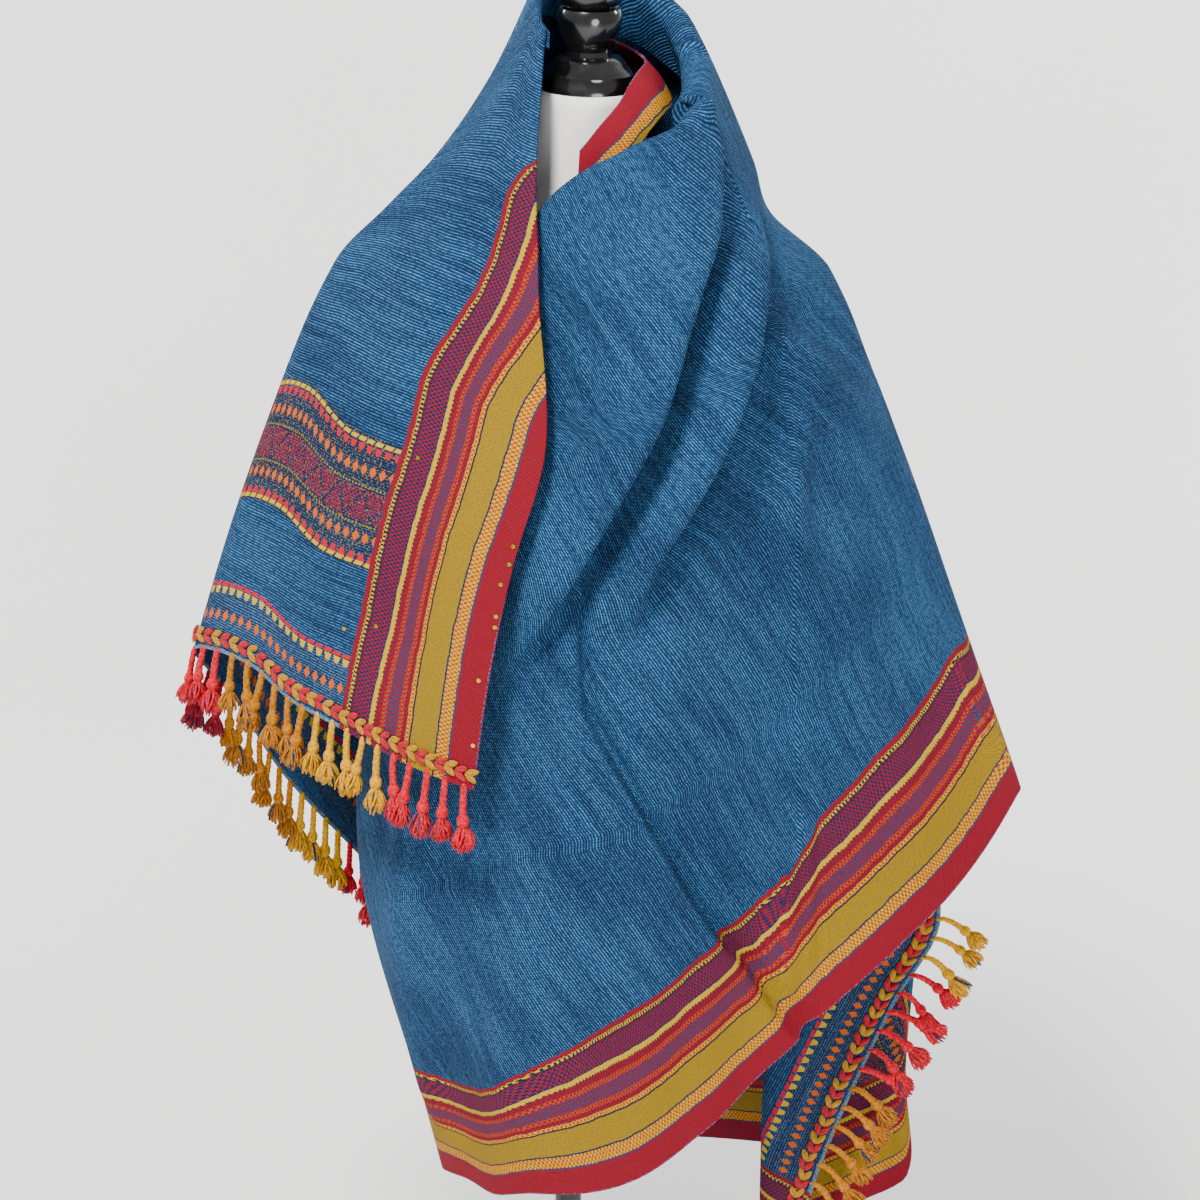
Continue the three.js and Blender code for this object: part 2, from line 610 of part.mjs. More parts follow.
function lockGeometry(root, fall, side, length, width) {
  const front = fall.clone().cross(side).normalize();
  const points = [];
  for (const section of LOCK) {
    const middle = root.clone().addScaledVector(fall, section.down * length);
    for (let k = 0; k < LOCK_SIDES; k += 1) {
      const angle = Math.PI * (2 * k + 1) / LOCK_SIDES;
      const corner = section.half * CORD_RADIUS * Math.SQRT2 * width;
      const spot = middle.clone().addScaledVector(side, corner * Math.cos(angle));
      points.push(spot.addScaledVector(front, corner * Math.sin(angle)));
    }
  }
  const faces = [];
  for (let j = 0; j < LOCK.length - 1; j += 1) {
    for (let k = 0; k < LOCK_SIDES; k += 1) {
      const [a, b] = [j * LOCK_SIDES + k, j * LOCK_SIDES + (k + 1) % LOCK_SIDES];
      faces.push(a, b, b + LOCK_SIDES, a, b + LOCK_SIDES, a + LOCK_SIDES);
    }
  }
  const end = (LOCK.length - 1) * LOCK_SIDES;
  faces.push(2, 1, 0, 3, 2, 0, end, end + 1, end + 2, end, end + 2, end + 3);
  if (signedVolume(points, faces) < 0) faces.reverse();
  return { points, faces };
}

function solid({ points, faces }) {
  const merged = mergeVertices(geometryOf(points, faces));
  return new wasm.Manifold(new wasm.Mesh({
    numProp: 3,
    vertProperties: merged.attributes.position.array,
    triVerts: new Uint32Array(merged.index.array),
  }));
}

// Places evenly spaced along an edge's posts.
function spaced(edge, spacing) {
  const run = [0];
  for (let k = 1; k < edge.length; k += 1) {
    run.push(run[k - 1] + edge[k].point.distanceTo(edge[k - 1].point));
  }
  const whole = run[run.length - 1];
  const count = Math.floor(whole / spacing);
  return Array.from({ length: count }, (_, i) => {
    const wanted = (i + 0.5) * whole / count;
    const k = run.findIndex((length) => length >= wanted) - 1;
    const t = (wanted - run[k]) / (run[k + 1] - run[k]);
    const mix = (name) => edge[k][name].clone().lerp(edge[k + 1][name], t);
    const side = edge[k + 1].point.clone().sub(edge[k].point).normalize();
    return { point: mix('point'), beyond: mix('beyond').normalize(), out: mix('out').normalize(), side };
  });
}

// The locks hang from a narrow strip that lies just beyond the cloth's cut edge.
const DOWN = new THREE.Vector3(0, 0, -1);
function fringe(name, edge, spacing, droop, color) {
  const thick = FRINGE_STRIP.thickness;
  const middle = -WALL / 2;
  const start = FRINGE_STRIP.clearance;
  let whole = solid(band(edge, start, start + FRINGE_STRIP.height, middle - thick / 2, middle + thick / 2));
  for (const { point, beyond, out, side } of spaced(edge, spacing)) {
    const root = point.clone().addScaledVector(beyond, start + FRINGE_STRIP.height * 0.7);
    root.addScaledVector(out, middle);
    const fall = beyond.clone().multiplyScalar(1 - droop).addScaledVector(DOWN, droop);
    fall.addScaledVector(side, around(0, 0.16)).addScaledVector(out, around(0.04, 0.08)).normalize();
    const length = TASSEL_LENGTH * around(1, 0.16);
    whole = whole.add(solid(lockGeometry(root, fall, side, length, around(0.98, 0.12))));
  }
  const { vertProperties, triVerts } = whole.getMesh();
  const geometry = new THREE.BufferGeometry();
  geometry.setAttribute('position', new THREE.Float32BufferAttribute(vertProperties, 3));
  geometry.setIndex(Array.from(triVerts));
  const mesh = new THREE.Mesh(geometry, finish(color, 0.9));
  mesh.name = name;
  shawl.add(mesh);
}

// The fringed end is cut in two at the wing's tip, its outermost hem point.
const hemReach = fallGrid.map((line) => line[line.length - 1].x);
const wingTip = hemReach.indexOf(Math.min(...hemReach));
const frontPosts = posts(fallGrid, 0, wingTip);
const rearPosts = posts(fallGrid, wingTip + 1, fallGrid.length);
fringe('fringe_front', frontPosts, TASSEL_SPACING.front, 0.8, CRIMSON);
fringe('fringe_rear', rearPosts, TASSEL_SPACING.rear, 0.55, MUSTARD);
braid('braid_front', frontPosts);
braid('braid_rear', rearPosts);

// The tail's fringed edge runs down the last column of its grid, and the cloth's wrong side
// faces the front there.
const TAIL_FRINGE_TOP = 620;
function tailEdge() {
  const across = tail[0].map((_, j) => tail.map((line) => line[j]));
  const first = across.findIndex((line) => line[0].z < TAIL_FRINGE_TOP);
  return posts(across, first, across.length).map((post) => {
    const out = post.out.clone().multiplyScalar(-Math.sign(post.out.y));
    return { point: post.point.clone().addScaledVector(out, WALL), beyond: post.beyond, out };
  });
}
const tailPosts = tailEdge();
fringe('fringe_tail', tailPosts, TASSEL_SPACING.rear, 0.5, CRIMSON);
braid('braid_tail', tailPosts);

// ---------------------------------------------------------------- the dress form

const group = new THREE.Group();
group.add(shawl);

function torsoMesh() {
  const points = [];
  const rings = TORSO.length * 2 - 1;
  for (let k = 0; k < rings; k += 1) {
    const low = TORSO[Math.floor(k / 2)].height;
    const high = TORSO[Math.min(TORSO.length - 1, Math.ceil(k / 2))].height;
    const height = (low + high) / 2;
    for (let i = 0; i < TORSO_SIDES; i += 1) {
      const turn = 360 * i / TORSO_SIDES;
      const d = direction(turn);
      const reach = torsoReach(turn, height);
      points.push(new THREE.Vector3(d.x * reach, d.y * reach, height));
    }
  }
  const faces = [];
  for (let k = 0; k < rings - 1; k += 1) {
    for (let i = 0; i < TORSO_SIDES; i += 1) {
      const [a, b] = [k * TORSO_SIDES + i, k * TORSO_SIDES + (i + 1) % TORSO_SIDES];
      faces.push(a, b, b + TORSO_SIDES, a, b + TORSO_SIDES, a + TORSO_SIDES);
    }
  }
  const end = (rings - 1) * TORSO_SIDES;
  for (let i = 1; i < TORSO_SIDES - 1; i += 1) {
    faces.push(0, i + 1, i, end, end + i, end + i + 1);
  }
  return closedMesh('form_torso', points, faces, finish(WHITE, 0.85));
}
group.add(torsoMesh());

// Turned parts: rows of radius and height above the part's foot, from the foot to its top.
function turned(name, foot, profile, sides, material) {
  const top = profile[profile.length - 1][1];
  const outline = [[0, profile[0][1]], ...profile, [0, top]];
  const points = outline.map(([radius, height]) => new THREE.Vector2(radius, foot + height));
  const geometry = new THREE.LatheGeometry(points, sides);
  geometry.rotateX(Math.PI / 2);
  const mesh = new THREE.Mesh(geometry, material);
  mesh.name = name;
  group.add(mesh);
}

const CAP = { foot: NECK_TOP + SEAM, height: 26 };
turned('neck_cap', CAP.foot, [
  [42, 0], [42, 5], [39, 9], [39, 13], [31, 19], [29, 22], [24, CAP.height],
], 20, finish(BLACK, 0.2));
const URN = { foot: CAP.foot + CAP.height + SEAM, height: 38 };
turned('finial_urn', URN.foot, [
  [19, 0], [18, 4], [22, 12], [26, 24], [27, 34], [25, URN.height],
], 20, finish(BLACK, 0.2));
turned('finial_ball', URN.foot + URN.height + SEAM, [
  [21, 0], [26, 5], [28, 15], [27, 26], [21, 38], [11, 46], [8, 52], [9, 58], [5, 63],
], 20, finish(BLACK, 0.2));

const POLE_COLLAR = { foot: TORSO_BOTTOM - SEAM - 34, height: 34 };
turned('pole_collar', POLE_COLLAR.foot, [
  [30, 0], [30, 24], [46, 29], [46, POLE_COLLAR.height],
], 18, finish(BLACK, 0.3));
const HUB = { foot: BASE_THICKNESS + SEAM, height: 46 };
turned('base_hub', HUB.foot, [
  [40, 0], [38, 8], [20, 16], [17, HUB.height],
], 18, finish(BLACK, 0.3));
const POLE_FOOT = HUB.foot + HUB.height + SEAM;
turned('pole', POLE_FOOT, [
  [POLE_RADIUS, 0], [POLE_RADIUS, POLE_COLLAR.foot - SEAM - POLE_FOOT],
], 20, finish(BLACK, 0.3));
turned('base', 0, [
  [BASE_RADIUS, 0], [BASE_RADIUS, 8], [BASE_RADIUS - 6, 12], [60, BASE_THICKNESS], [50, BASE_THICKNESS],
], 32, finish(BLACK, 0.3));

export default group;
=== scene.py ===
"""The finish of a hand-loomed wool shawl that is wound about a dress form.

The scene is in metres, +Z up, and the form faces -Y. Tables of the cloth are in millimetres and
degrees. A turn is the angle travelled along the winding: 0 is the middle of the front on the
outer layer, 90 the form's right side, 180 its back, 270 its left side, and 360 the middle of the
front again, one layer further in.
"""

import math

import bpy
import numpy as np
from mathutils import Matrix, Vector


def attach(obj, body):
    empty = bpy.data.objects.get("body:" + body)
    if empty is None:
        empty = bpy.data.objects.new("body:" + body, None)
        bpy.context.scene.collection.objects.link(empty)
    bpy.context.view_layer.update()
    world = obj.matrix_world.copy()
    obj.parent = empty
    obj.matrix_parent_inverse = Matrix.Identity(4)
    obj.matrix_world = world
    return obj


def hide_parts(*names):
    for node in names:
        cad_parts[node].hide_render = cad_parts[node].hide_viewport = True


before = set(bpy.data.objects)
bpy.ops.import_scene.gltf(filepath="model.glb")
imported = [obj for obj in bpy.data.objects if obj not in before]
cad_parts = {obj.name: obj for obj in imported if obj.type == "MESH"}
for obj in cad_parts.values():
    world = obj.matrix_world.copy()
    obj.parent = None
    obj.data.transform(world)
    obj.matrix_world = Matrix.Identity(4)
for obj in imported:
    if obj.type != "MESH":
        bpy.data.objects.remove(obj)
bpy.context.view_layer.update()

MM = 0.001
WALL = 2 * MM
SEAM = 0.3  # between pieces that touch
NECK_TOP = 1350
TORSO_BOTTOM = 610
CORNER_TURN = 24  # front corner of the fringed end
FAR_CORNER_TURN = 174  # its other corner, low on the back
WING_TIP_TURN = 91
FRONT_WRAP_TURN, HIP_SEAM = 262, 443
TAIL_SEAM = 616
INNER_LAYER_TURN = 385
LEAST_REST = (3.4, 8.2)  # from the form to the cloth's face, outer and inner layer
DEGREE = 3.1  # millimetres of cloth, where the winding is laid out flat
BORDER = 0.139  # width of the striped border, in metres


# ---- tables


def table(text):
    """A table's columns by name. Its first line holds the names."""
    head, *lines = text.strip().splitlines()
    values = np.array([[float(word) for word in line.split()] for line in lines])
    return dict(zip(head.split(), values.T))


STATION_HEIGHTS = {
    "collar": 1430, "neck": 1360, "slope": 1290, "yoke": 1245, "shoulder": 1200,
    "chest": 1050, "waist": 850, "hip": 650, "knee": 400,
}
STATIONS = table("""
turn collar neck slope yoke shoulder chest waist hip knee
0 38 68 122 140 158 190 200 200 196
30 38 70 114 133 152 184 202 206 200
60 37 68 106 134 158 194 224 246 250
79 37 70 116 150 186 236 276 312 330
90 37 72 122 164 205 268 333 392 440
101 40 76 120 156 188 240 284 316 330
120 50 82 116 136 156 190 222 240 244
150 70 90 106 119 132 160 186 202 208
180 78 92 104 113 122 148 172 190 202
210 82 100 112 123 134 160 188 210 222
238 78 106 126 142 166 202 248 288 310
258 68 104 134 150 192 248 312 366 400
270 62 101 134 150 201 266 344 418 480
283 60 99 130 140 182 220 262 300 330
300 60 96 128 136 162 180 194 204 212
318 58 94 126 139 152 166 172 176 180
340 60 94 122 132 143 160 165 166 164
362 60 92 116 126 136 156 162 162 148
384 56 80 102 115 128 154 158 162 132
410 54 76 100 117 134 158 162 170 118
432 54 76 110 134 158 172 178 186 124
450 54 80 120 150 180 182 186 190 132
475 54 78 112 137 162 170 172 176 132
505 54 76 96 106 116 138 146 150 128
540 54 76 90 98 106 124 134 138 126
570 54 80 100 111 122 138 152 162 166
596 54 80 104 127 150 172 192 218 226
616 54 80 110 137 164 186 226 276 296
""")

EDGES = table("""
turn top hem
24 1400 806
45 1406 818
70 1412 834
90 1418 850
109 1424 683
121 1428 600
140 1431 500
160 1432 402
174 1432 328
200 1428 398
225 1414 505
250 1392 640
270 1370 732
282 1358 632
303 1342 506
323 1328 450
345 1312 416
373 1282 396
395 1220 372
420 1140 361
450 1080 338
480 1062 316
540 1050 295
596 1040 296
616 1030 330
""")

FRONT_EDGE = table("""
height turn
1410 46
1360 32
1300 21
1200 13
1100 9
1000 16
900 21
806 24
""")

ROLLED_EDGE = table("""
turn radius tuck
24 3.2 12
90 3.6 14
135 7 30
180 10 46
250 12 44
300 13 36
340 11 32
373 8 24
395 3.2 10
420 2.4 6
616 2.4 6
""")

# Proud is a fold's height, and gentle and steep are the widths of its two sides.
FOLDS = table("""
fromTurn fromHeight toTurn toHeight bow proud gentle steep
281 1190 296 640 10 7 40 40
352 820 388 430 0 9 55 40
408 800 432 380 0 9 34 26
30 1330 56 850 0 -9 34 40
52 1260 70 850 0 7 30 34
104 1260 112 700 0 10 34 26
128 1330 140 480 0 15 42 26
158 1350 170 350 0 17 38 28
196 1360 206 430 0 14 40 24
222 1320 236 560 0 12 36 24
246 1240 254 650 0 8 28 22
492 1000 500 300 0 8 36 26
552 1000 560 290 0 10 36 28
""")

# Folds drawn point by point, from the bottom up. The steep side is on the left of that way, so a
# crest hangs over to the lower right, by its lean, above a dip.
CRESTS = table("""
crest turn height proud gentle steep lean dip
1 385.5 890 0 36 12 0 0
1 375.5 930 13 40 10 5 4
1 368 970 21 44 9 10 8
1 361 1014 26 46 9 13 13
1 351.5 1074 31 48 9 15 15
1 343.5 1122 33 48 9 16 16
1 338.5 1162 33 46 8 16 16
1 333.5 1202 32 44 8 15 16
1 324.5 1250 29 38 8 14 14
1 316.5 1294 24 33 8 12 12
1 308 1330 18 28 8 10 8
1 304 1358 10 24 8 6 4
1 311 1382 0 22 8 0 0
2 347.5 926 0 28 12 0 0
2 345 970 12 30 10 6 4
2 339.5 1014 20 32 9 10 8
2 333 1050 25 34 9 13 13
2 323 1102 30 36 9 14 13
2 314 1158 31 38 8 12 10
2 307.5 1202 28 36 8 8 5
2 296.5 1234 22 32 9 4 1
2 288.5 1262 14 28 10 1 0
2 284 1290 0 24 8 0 0
3 290 490 3 24 4 1 4
3 293 505 5 26 4 2 7
3 299.5 550 6 28 4 3 8
3 308 610 6 30 4 3 9
3 318 650 7 32 4 3 9
3 336.5 742 7 34 4 4 10
3 346 794 7 30 4 4 10
3 356 850 7 28 4 3 9
3 359.5 878 6 26 4 3 8
3 361.5 946 4 22 4 2 6
3 364.5 982 0 18 4 0 0
4 290.5 914 0 26 16 0 0
4 293.5 958 6 26 15 1 1
4 296 1014 10 26 13 4 4
4 294.5 1070 9 24 13 3 3
4 291 1142 0 22 14 0 0
5 278.5 1014 0 30 18 0 0
5 280.5 1086 7 28 16 2 1
5 288 1142 12 26 12 5 5
5 295 1162 9 24 12 3 3
5 303.5 1198 0 22 14 0 0
6 322 560 0 30 22 0 0
6 330 640 5 34 20 0 1
6 338 720 6 34 18 1 2
6 352 800 0 26 18 0 0
""")

NECK_EDGE = table("""
turn reach height tuckReach tuckHeight
208 47 1380 65.4 1354
240 46 1375 67.4 1346
270 46 1373 68.4 1342
300 47 1370 71.4 1338
320 51 1361 77.4 1328
337 61 1348 87.4 1312
352 72 1334 91.4 1298
364 82 1316 96.4 1284
""")

TAIL = table("""
height rightX rightY leftX leftY edgeX edgeY
790 296 44 214 20 286 6
604 316 40 184 6 330 12
520 313 36 180 -2 292 4
429 311 32 178 -8 255 -8
333 322 28 179 -12 224 -18
215 322 26 182 -14 204 -22
""")
TAIL_HEMS = (334, 353, 240, 215)
TAIL_FOLD_RADIUS = 8

TORSO = table("""
height half front back
1350 44 44 44
1318 47 48 49
1288 56 57 58
1262 78 68 68
1242 116 78 76
1224 164 92 88
1204 186.5 98 95
1170 191 110 103
1100 179 124 110
1020 164 134 110
950 142 116 102
870 122 98 92
780 146 106 104
680 168 116 118
640 166 114 116
610 152 102 104
""")


# ---- interpolation


def along(rows, column, place):
    """Smooth value of a column at places along the table's first column."""
    key = next(iter(rows.values()))
    values = rows[column]
    if key[0] > key[-1]:
        key, values = key[::-1], values[::-1]
    return hermite(key, values, np.asarray(place, float))


def cubic(y0, y1, b0, b1, span, t):
    """A curve from one value to the next, with a slope at each."""
    curve = y0 * (2 * t**3 - 3 * t**2 + 1) + y1 * (3 * t**2 - 2 * t**3)
    return curve + span * (b0 * (t**3 - 2 * t**2 + t) + b1 * (t**3 - t**2))


def spline(key, value, place):
    """A smooth curve through value(i) at each key, which runs on straight past the ends."""
    last = len(key) - 1
    i = np.clip(np.searchsorted(key, place) - 1, 0, last - 1)

    def slope(below, above):
        return (value(above) - value(below)) / (key[above] - key[below])

    b0, b1 = slope(np.maximum(i - 1, 0), np.minimum(i + 1, last)), slope(i, np.minimum(i + 2, last))
    y0, y1, span = value(i), value(i + 1), key[i + 1] - key[i]
    t = (place - key[i]) / span
    after = y1 + b1 * (place - key[i + 1])
    ahead = np.where(t > 1, after, cubic(y0, y1, b0, b1, span, t))
    return np.where(t < 0, y0 + b0 * (place - key[i]), ahead)


def hermite(key, values, place):
    """The same, for values along the last axis."""
    return spline(key, lambda i: values[..., i], place)


def smooth(t):
    t = np.clip(t, 0, 1)
    return t * t * (3 - 2 * t)


def unit(vectors):
    length = np.linalg.norm(vectors, axis=-1, keepdims=True)
    return vectors / np.maximum(length, 1e-9)


def pair(first, second):
    return np.stack([first, second], axis=-1)


def torso_reach(turn, height):
    level = np.clip(height, TORSO_BOTTOM, NECK_TOP)
    dx, dy = -np.sin(np.radians(turn)), -np.cos(np.radians(turn))
    depth = np.where(dy < 0, along(TORSO, "front", level), along(TORSO, "back", level))
    return 1 / np.hypot(dx / along(TORSO, "half", level), dy / depth)


# ---- the winding


LEVEL_NAMES = list(STATION_HEIGHTS)[::-1]
LEVELS = np.array([STATION_HEIGHTS[name] for name in LEVEL_NAMES], float)
STATION_REACH = np.array([STATIONS[name] for name in LEVEL_NAMES]).T


def bare(turn, height):
    """Places of the cloth with no folds in it, in millimetres."""
    turn, height = np.broadcast_arrays(np.asarray(turn, float), np.asarray(height, float))
    shape = turn.shape
    turn, height = turn.ravel(), height.ravel()
    point = np.arange(turn.size)

    def across(values):
        return spline(STATIONS["turn"], lambda i: values[i, point], turn)

    reach = hermite(LEVELS, STATION_REACH, height)
    angle = np.radians(STATIONS["turn"])[:, None]
    x, y = across(-np.sin(angle) * reach), across(-np.cos(angle) * reach)
    grow = clear_of_form(x, y, height, turn)
    return np.stack([x * grow, y * grow, height], axis=-1).reshape(*shape, 3)


def directions(turn, height):
    """Unit vectors of the cloth: towards higher turns, upwards, and outwards."""
    side = unit(bare(turn + 0.5, height) - bare(turn - 0.5, height))
    up = unit(bare(turn, height + 4) - bare(turn, height - 4))
    return side, up, unit(np.cross(up, side))


FOLD_STEPS, CREST_STEPS = 16, 4
DIP_PLACE, DIP_WIDTH = 2.2, 1.8  # in widths of the steep side


def nearest_on(points, x, y):
    """From each place to a line of points: distance, side, place along the line, and left normal."""
    nearest = np.full(x.shape, np.inf)
    side, place = np.zeros_like(x), np.zeros_like(x)
    normal_x, normal_y = np.zeros_like(x), np.zeros_like(x)
    for j in range(len(points) - 1):
        (ax, ay), (rx, ry) = points[j], points[j + 1] - points[j]
        length = math.hypot(rx, ry)
        t = np.clip(((x - ax) * rx + (y - ay) * ry) / length**2, 0, 1)
        distance = np.hypot(x - ax - t * rx, y - ay - t * ry)
        closer = distance < nearest
        nearest = np.where(closer, distance, nearest)
        side = np.where(closer, rx * (y - ay) - ry * (x - ax), side)
        place = np.where(closer, j + t, place)
        normal_x = np.where(closer, -ry / length, normal_x)
        normal_y = np.where(closer, rx / length, normal_y)
    return nearest, side, place, normal_x, normal_y


def folds(turn, height):
    """What the folds add to the cloth: their height, and their lean in the unrolled plane."""
    x, y = turn * DEGREE, height
    proud, lean_x, lean_y = np.zeros_like(x), np.zeros_like(x), np.zeros_like(x)
    t = np.linspace(0, 1, FOLD_STEPS + 1)[:, None]
    for k in range(len(FOLDS["proud"])):
        row = {name: values[k] for name, values in FOLDS.items()}
        a = np.array([row["fromTurn"] * DEGREE, row["fromHeight"]])
        b = np.array([row["toTurn"] * DEGREE, row["toHeight"]])
        across = np.array([b[1] - a[1], a[0] - b[0]]) / np.hypot(*(b - a))
        middle = (a + b) / 2 + across * 2 * row["bow"]
        points = a * (1 - t) ** 2 + middle * 2 * t * (1 - t) + b * t**2
        distance, side, place, _, _ = nearest_on(points, x, y)
        place = place / FOLD_STEPS
        width = np.where(side > 0, row["steep"], row["gentle"])
        swell = smooth(place / 0.22) * smooth((1 - place) / 0.18) * np.exp(-((distance / width) ** 2))
        proud += row["proud"] * swell
    for k in np.unique(CRESTS["crest"]):
        rows = {name: values[CRESTS["crest"] == k] for name, values in CRESTS.items()}
        knots = np.arange(float(len(rows["turn"])))
        fine = np.linspace(0, knots[-1], (len(knots) - 1) * CREST_STEPS + 1)
        points = pair(hermite(knots, rows["turn"], fine) * DEGREE, hermite(knots, rows["height"], fine))
        distance, side, place, normal_x, normal_y = nearest_on(points, x, y)
        here = {name: hermite(knots, rows[name], place / CREST_STEPS) for name in rows}
        off = distance * np.where(side > 0, 1, -1)
        swell = np.exp(-((off / np.where(side > 0, here["steep"], here["gentle"])) ** 2))
        beyond = (off / here["steep"] - DIP_PLACE) / DIP_WIDTH
        proud += here["proud"] * swell - here["dip"] * np.exp(-(beyond**2))
        lean_x += here["lean"] * swell * normal_x
        lean_y += here["lean"] * swell * normal_y
    return proud, lean_x, lean_y


def ripple(turn, height):
    """The slight unevenness of cloth that hangs free, a millimetre or two."""
    x, y = turn * DEGREE, height
    long_waves = 1 + np.sin(x / 37 + y / 160) * np.sin(y / 210 + x / 91 + 1.3)
    short_waves = 1 + np.sin(x / 17.3 - y / 74 + 0.7) * np.sin(y / 58 + x / 46)
    return (1.2 * long_waves + 0.5 * short_waves) * (1 - smooth((turn - 375) / 25))


def cloth(turn, height):
    side, up, out = directions(turn, height)
    proud, lean_x, lean_y = folds(turn, height)
    proud = proud + ripple(turn, height)
    place = bare(turn, height) + out * proud[..., None] + side * lean_x[..., None] + up * lean_y[..., None]
    grow = clear_of_form(place[..., 0], place[..., 1], place[..., 2], turn)
    return place * np.stack([grow, grow, np.ones_like(grow)], axis=-1)


def clear_of_form(x, y, height, turn):
    """How many times further out a place has to lie, so as not to touch the form."""
    facing = np.degrees(np.arctan2(-x, -y))
    rest = np.where(turn > INNER_LAYER_TURN, LEAST_REST[1], LEAST_REST[0])
    beside = (height > TORSO_BOTTOM - 40) & (height < NECK_TOP + 6)
    least = np.where(beside, torso_reach(facing, height) + rest, 0)
    return np.maximum(1, least / np.hypot(x, y))


def shifted(turn, height):
    """The front edge of the fall wanders, and the sections near it follow."""
    fade = 1 - smooth((turn - CORNER_TURN) / 70)
    return turn + (along(FRONT_EDGE, "turn", height) - CORNER_TURN) * fade


def spread(first, last, cell):
    """Turns spaced evenly along the cloth, measured at the waist, without the last one."""
    fine = np.linspace(first, last, 400)
    steps = np.linalg.norm(np.diff(bare(fine, STATION_HEIGHTS["waist"]), axis=0), axis=1)
    run = np.concatenate([[0], np.cumsum(steps)])
    count = max(2, round(run[-1] / cell))
    return np.interp(np.arange(count) * run[-1] / count, run, fine)


TUCK_ROWS, ROLL_ROWS, FACE_ROWS = 4, 9, 200


def winding(turns):
    """Points of the cloth's face, a column for each turn, from its tucked edge down to its hem."""
    top, hem = along(EDGES, "top", turns), along(EDGES, "hem", turns)
    height = top[:, None] + (hem - top)[:, None] * np.linspace(0, 1, FACE_ROWS + 1)
    turn = shifted(turns[:, None], height)
    face = cloth(turn, height)
    crest = face[:, 0]
    climb = unit(crest - cloth(shifted(turns, top - 45), top - 45))
    out = directions(shifted(turns, top), top)[2]
    out = unit(out - climb * np.sum(out * climb, axis=-1, keepdims=True))
    radius, tuck = along(ROLLED_EDGE, "radius", turns), along(ROLLED_EDGE, "tuck", turns)
    centre = crest - out * radius[:, None]
    angle = np.linspace(math.pi, 0, ROLL_ROWS + 1)[None, :-1, None]
    spokes = out[:, None] * np.cos(angle) + climb[:, None] * np.sin(angle)
    roll = centre[:, None] + radius[:, None, None] * spokes
    drop = (tuck[:, None] * np.linspace(1, 0, TUCK_ROWS + 1)[None, :-1])[..., None]
    under = roll[:, :1] - climb[:, None] * drop
    return np.concatenate([under, roll, face], axis=1) * MM


# ---- cloth as a mesh


def grid_normals(grid):
    across, down = np.gradient(grid, axis=0), np.gradient(grid, axis=1)
    return unit(np.cross(across, down))


def run_along(grid, axis):
    """Length of the cloth from the first row or column to each point."""
    steps = np.linalg.norm(np.diff(grid, axis=axis), axis=-1)
    zero = np.zeros_like(np.take(steps, [0], axis=axis))
    return np.concatenate([zero, np.cumsum(steps, axis=axis)], axis=axis)


def up_from_hem(grid):
    return run_along(grid[:, ::-1], 1)[:, ::-1]


def round_axis(turn, reach, height):
    """Places so far from the axis, in the direction of a turn."""
    angle = np.radians(turn)
    return np.stack(np.broadcast_arrays(-np.sin(angle) * reach, -np.cos(angle) * reach, height), axis=-1)


def fit(piece, slot, *nodes):
    """The piece rides on the body and stands for its solids, which are hidden. Its slot is not used."""
    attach(piece, "root")
    if nodes:
        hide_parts(*nodes)


def new_piece(name, points, quads, material, maps=None, floats=None, sharp=0):
    """A mesh from points and faces, with maps of two coordinates and single values by point."""
    mesh = bpy.data.meshes.new(name)
    mesh.from_pydata(points.tolist(), [], quads.tolist() if hasattr(quads, "tolist") else quads)
    corners = np.empty(len(mesh.loops), np.int32)
    mesh.loops.foreach_get("vertex_index", corners)
    for label, values in (maps or {}).items():
        layer = mesh.uv_layers.new(name=label)
        layer.data.foreach_set("uv", values[corners].astype(np.float32).ravel())
    for label, values in (floats or {}).items():
        layer = mesh.attributes.new(label, "FLOAT", "POINT")
        layer.data.foreach_set("value", values.astype(np.float32))
    mesh.materials.append(material)
    mesh.shade_smooth()
    if sharp:
        mesh.set_sharp_from_angle(angle=math.radians(sharp))
    mesh.update()
    piece = bpy.data.objects.new(name, mesh)
    bpy.context.scene.collection.objects.link(piece)
    return piece


def quads_of(columns, rows, start=0, flip=False):
    i, j = np.meshgrid(np.arange(columns - 1), np.arange(rows - 1), indexing="ij")
    a = start + i * rows + j
    corners = np.stack([a, a + rows, a + rows + 1, a + 1], axis=-1).reshape(-1, 4)
    return corners[:, ::-1] if flip else corners


def wall_quads(columns, rows):
    """Faces of a wall: its face, its lining side, and the four edges between them."""
    size = columns * rows
    faces = [quads_of(columns, rows), quads_of(columns, rows, size, flip=True)]
    column, row = np.arange(columns) * rows, np.arange(rows)
    lines = ((column, True), (column + rows - 1, False), (row, False), (row + size - rows, True))
    for line, backwards in lines:
        a, b = line[:-1], line[1:]
        edge = np.stack([a, b, b + size, a + size], axis=-1)
        faces.append(edge[:, ::-1] if backwards else edge)
    return np.concatenate(faces)


SHARP_EDGE = 72  # degrees between faces, from which a cloth's edge is crisp


def cloth_wall(name, grid, maps):
    """A shell of cloth behind a grid of points on its face."""
    columns, rows = grid.shape[:2]
    back = grid - grid_normals(grid) * WALL
    points = np.concatenate([grid.reshape(-1, 3), back.reshape(-1, 3)])
    twice = {label: np.tile(values.reshape(-1, 2), (2, 1)) for label, values in maps.items()}
    lining = {"lining": np.repeat([0.0, 1.0], columns * rows)}
    return new_piece(name, points, wall_quads(columns, rows), indigo_wool, twice, lining, SHARP_EDGE)


# ---- where the cloth lies on its cut


def averaged(values, reach):
    """A moving average over so many columns to either side."""
    padded = np.pad(values, reach, mode="edge")
    return np.convolve(padded, np.ones(2 * reach + 1) / (2 * reach + 1), mode="valid")


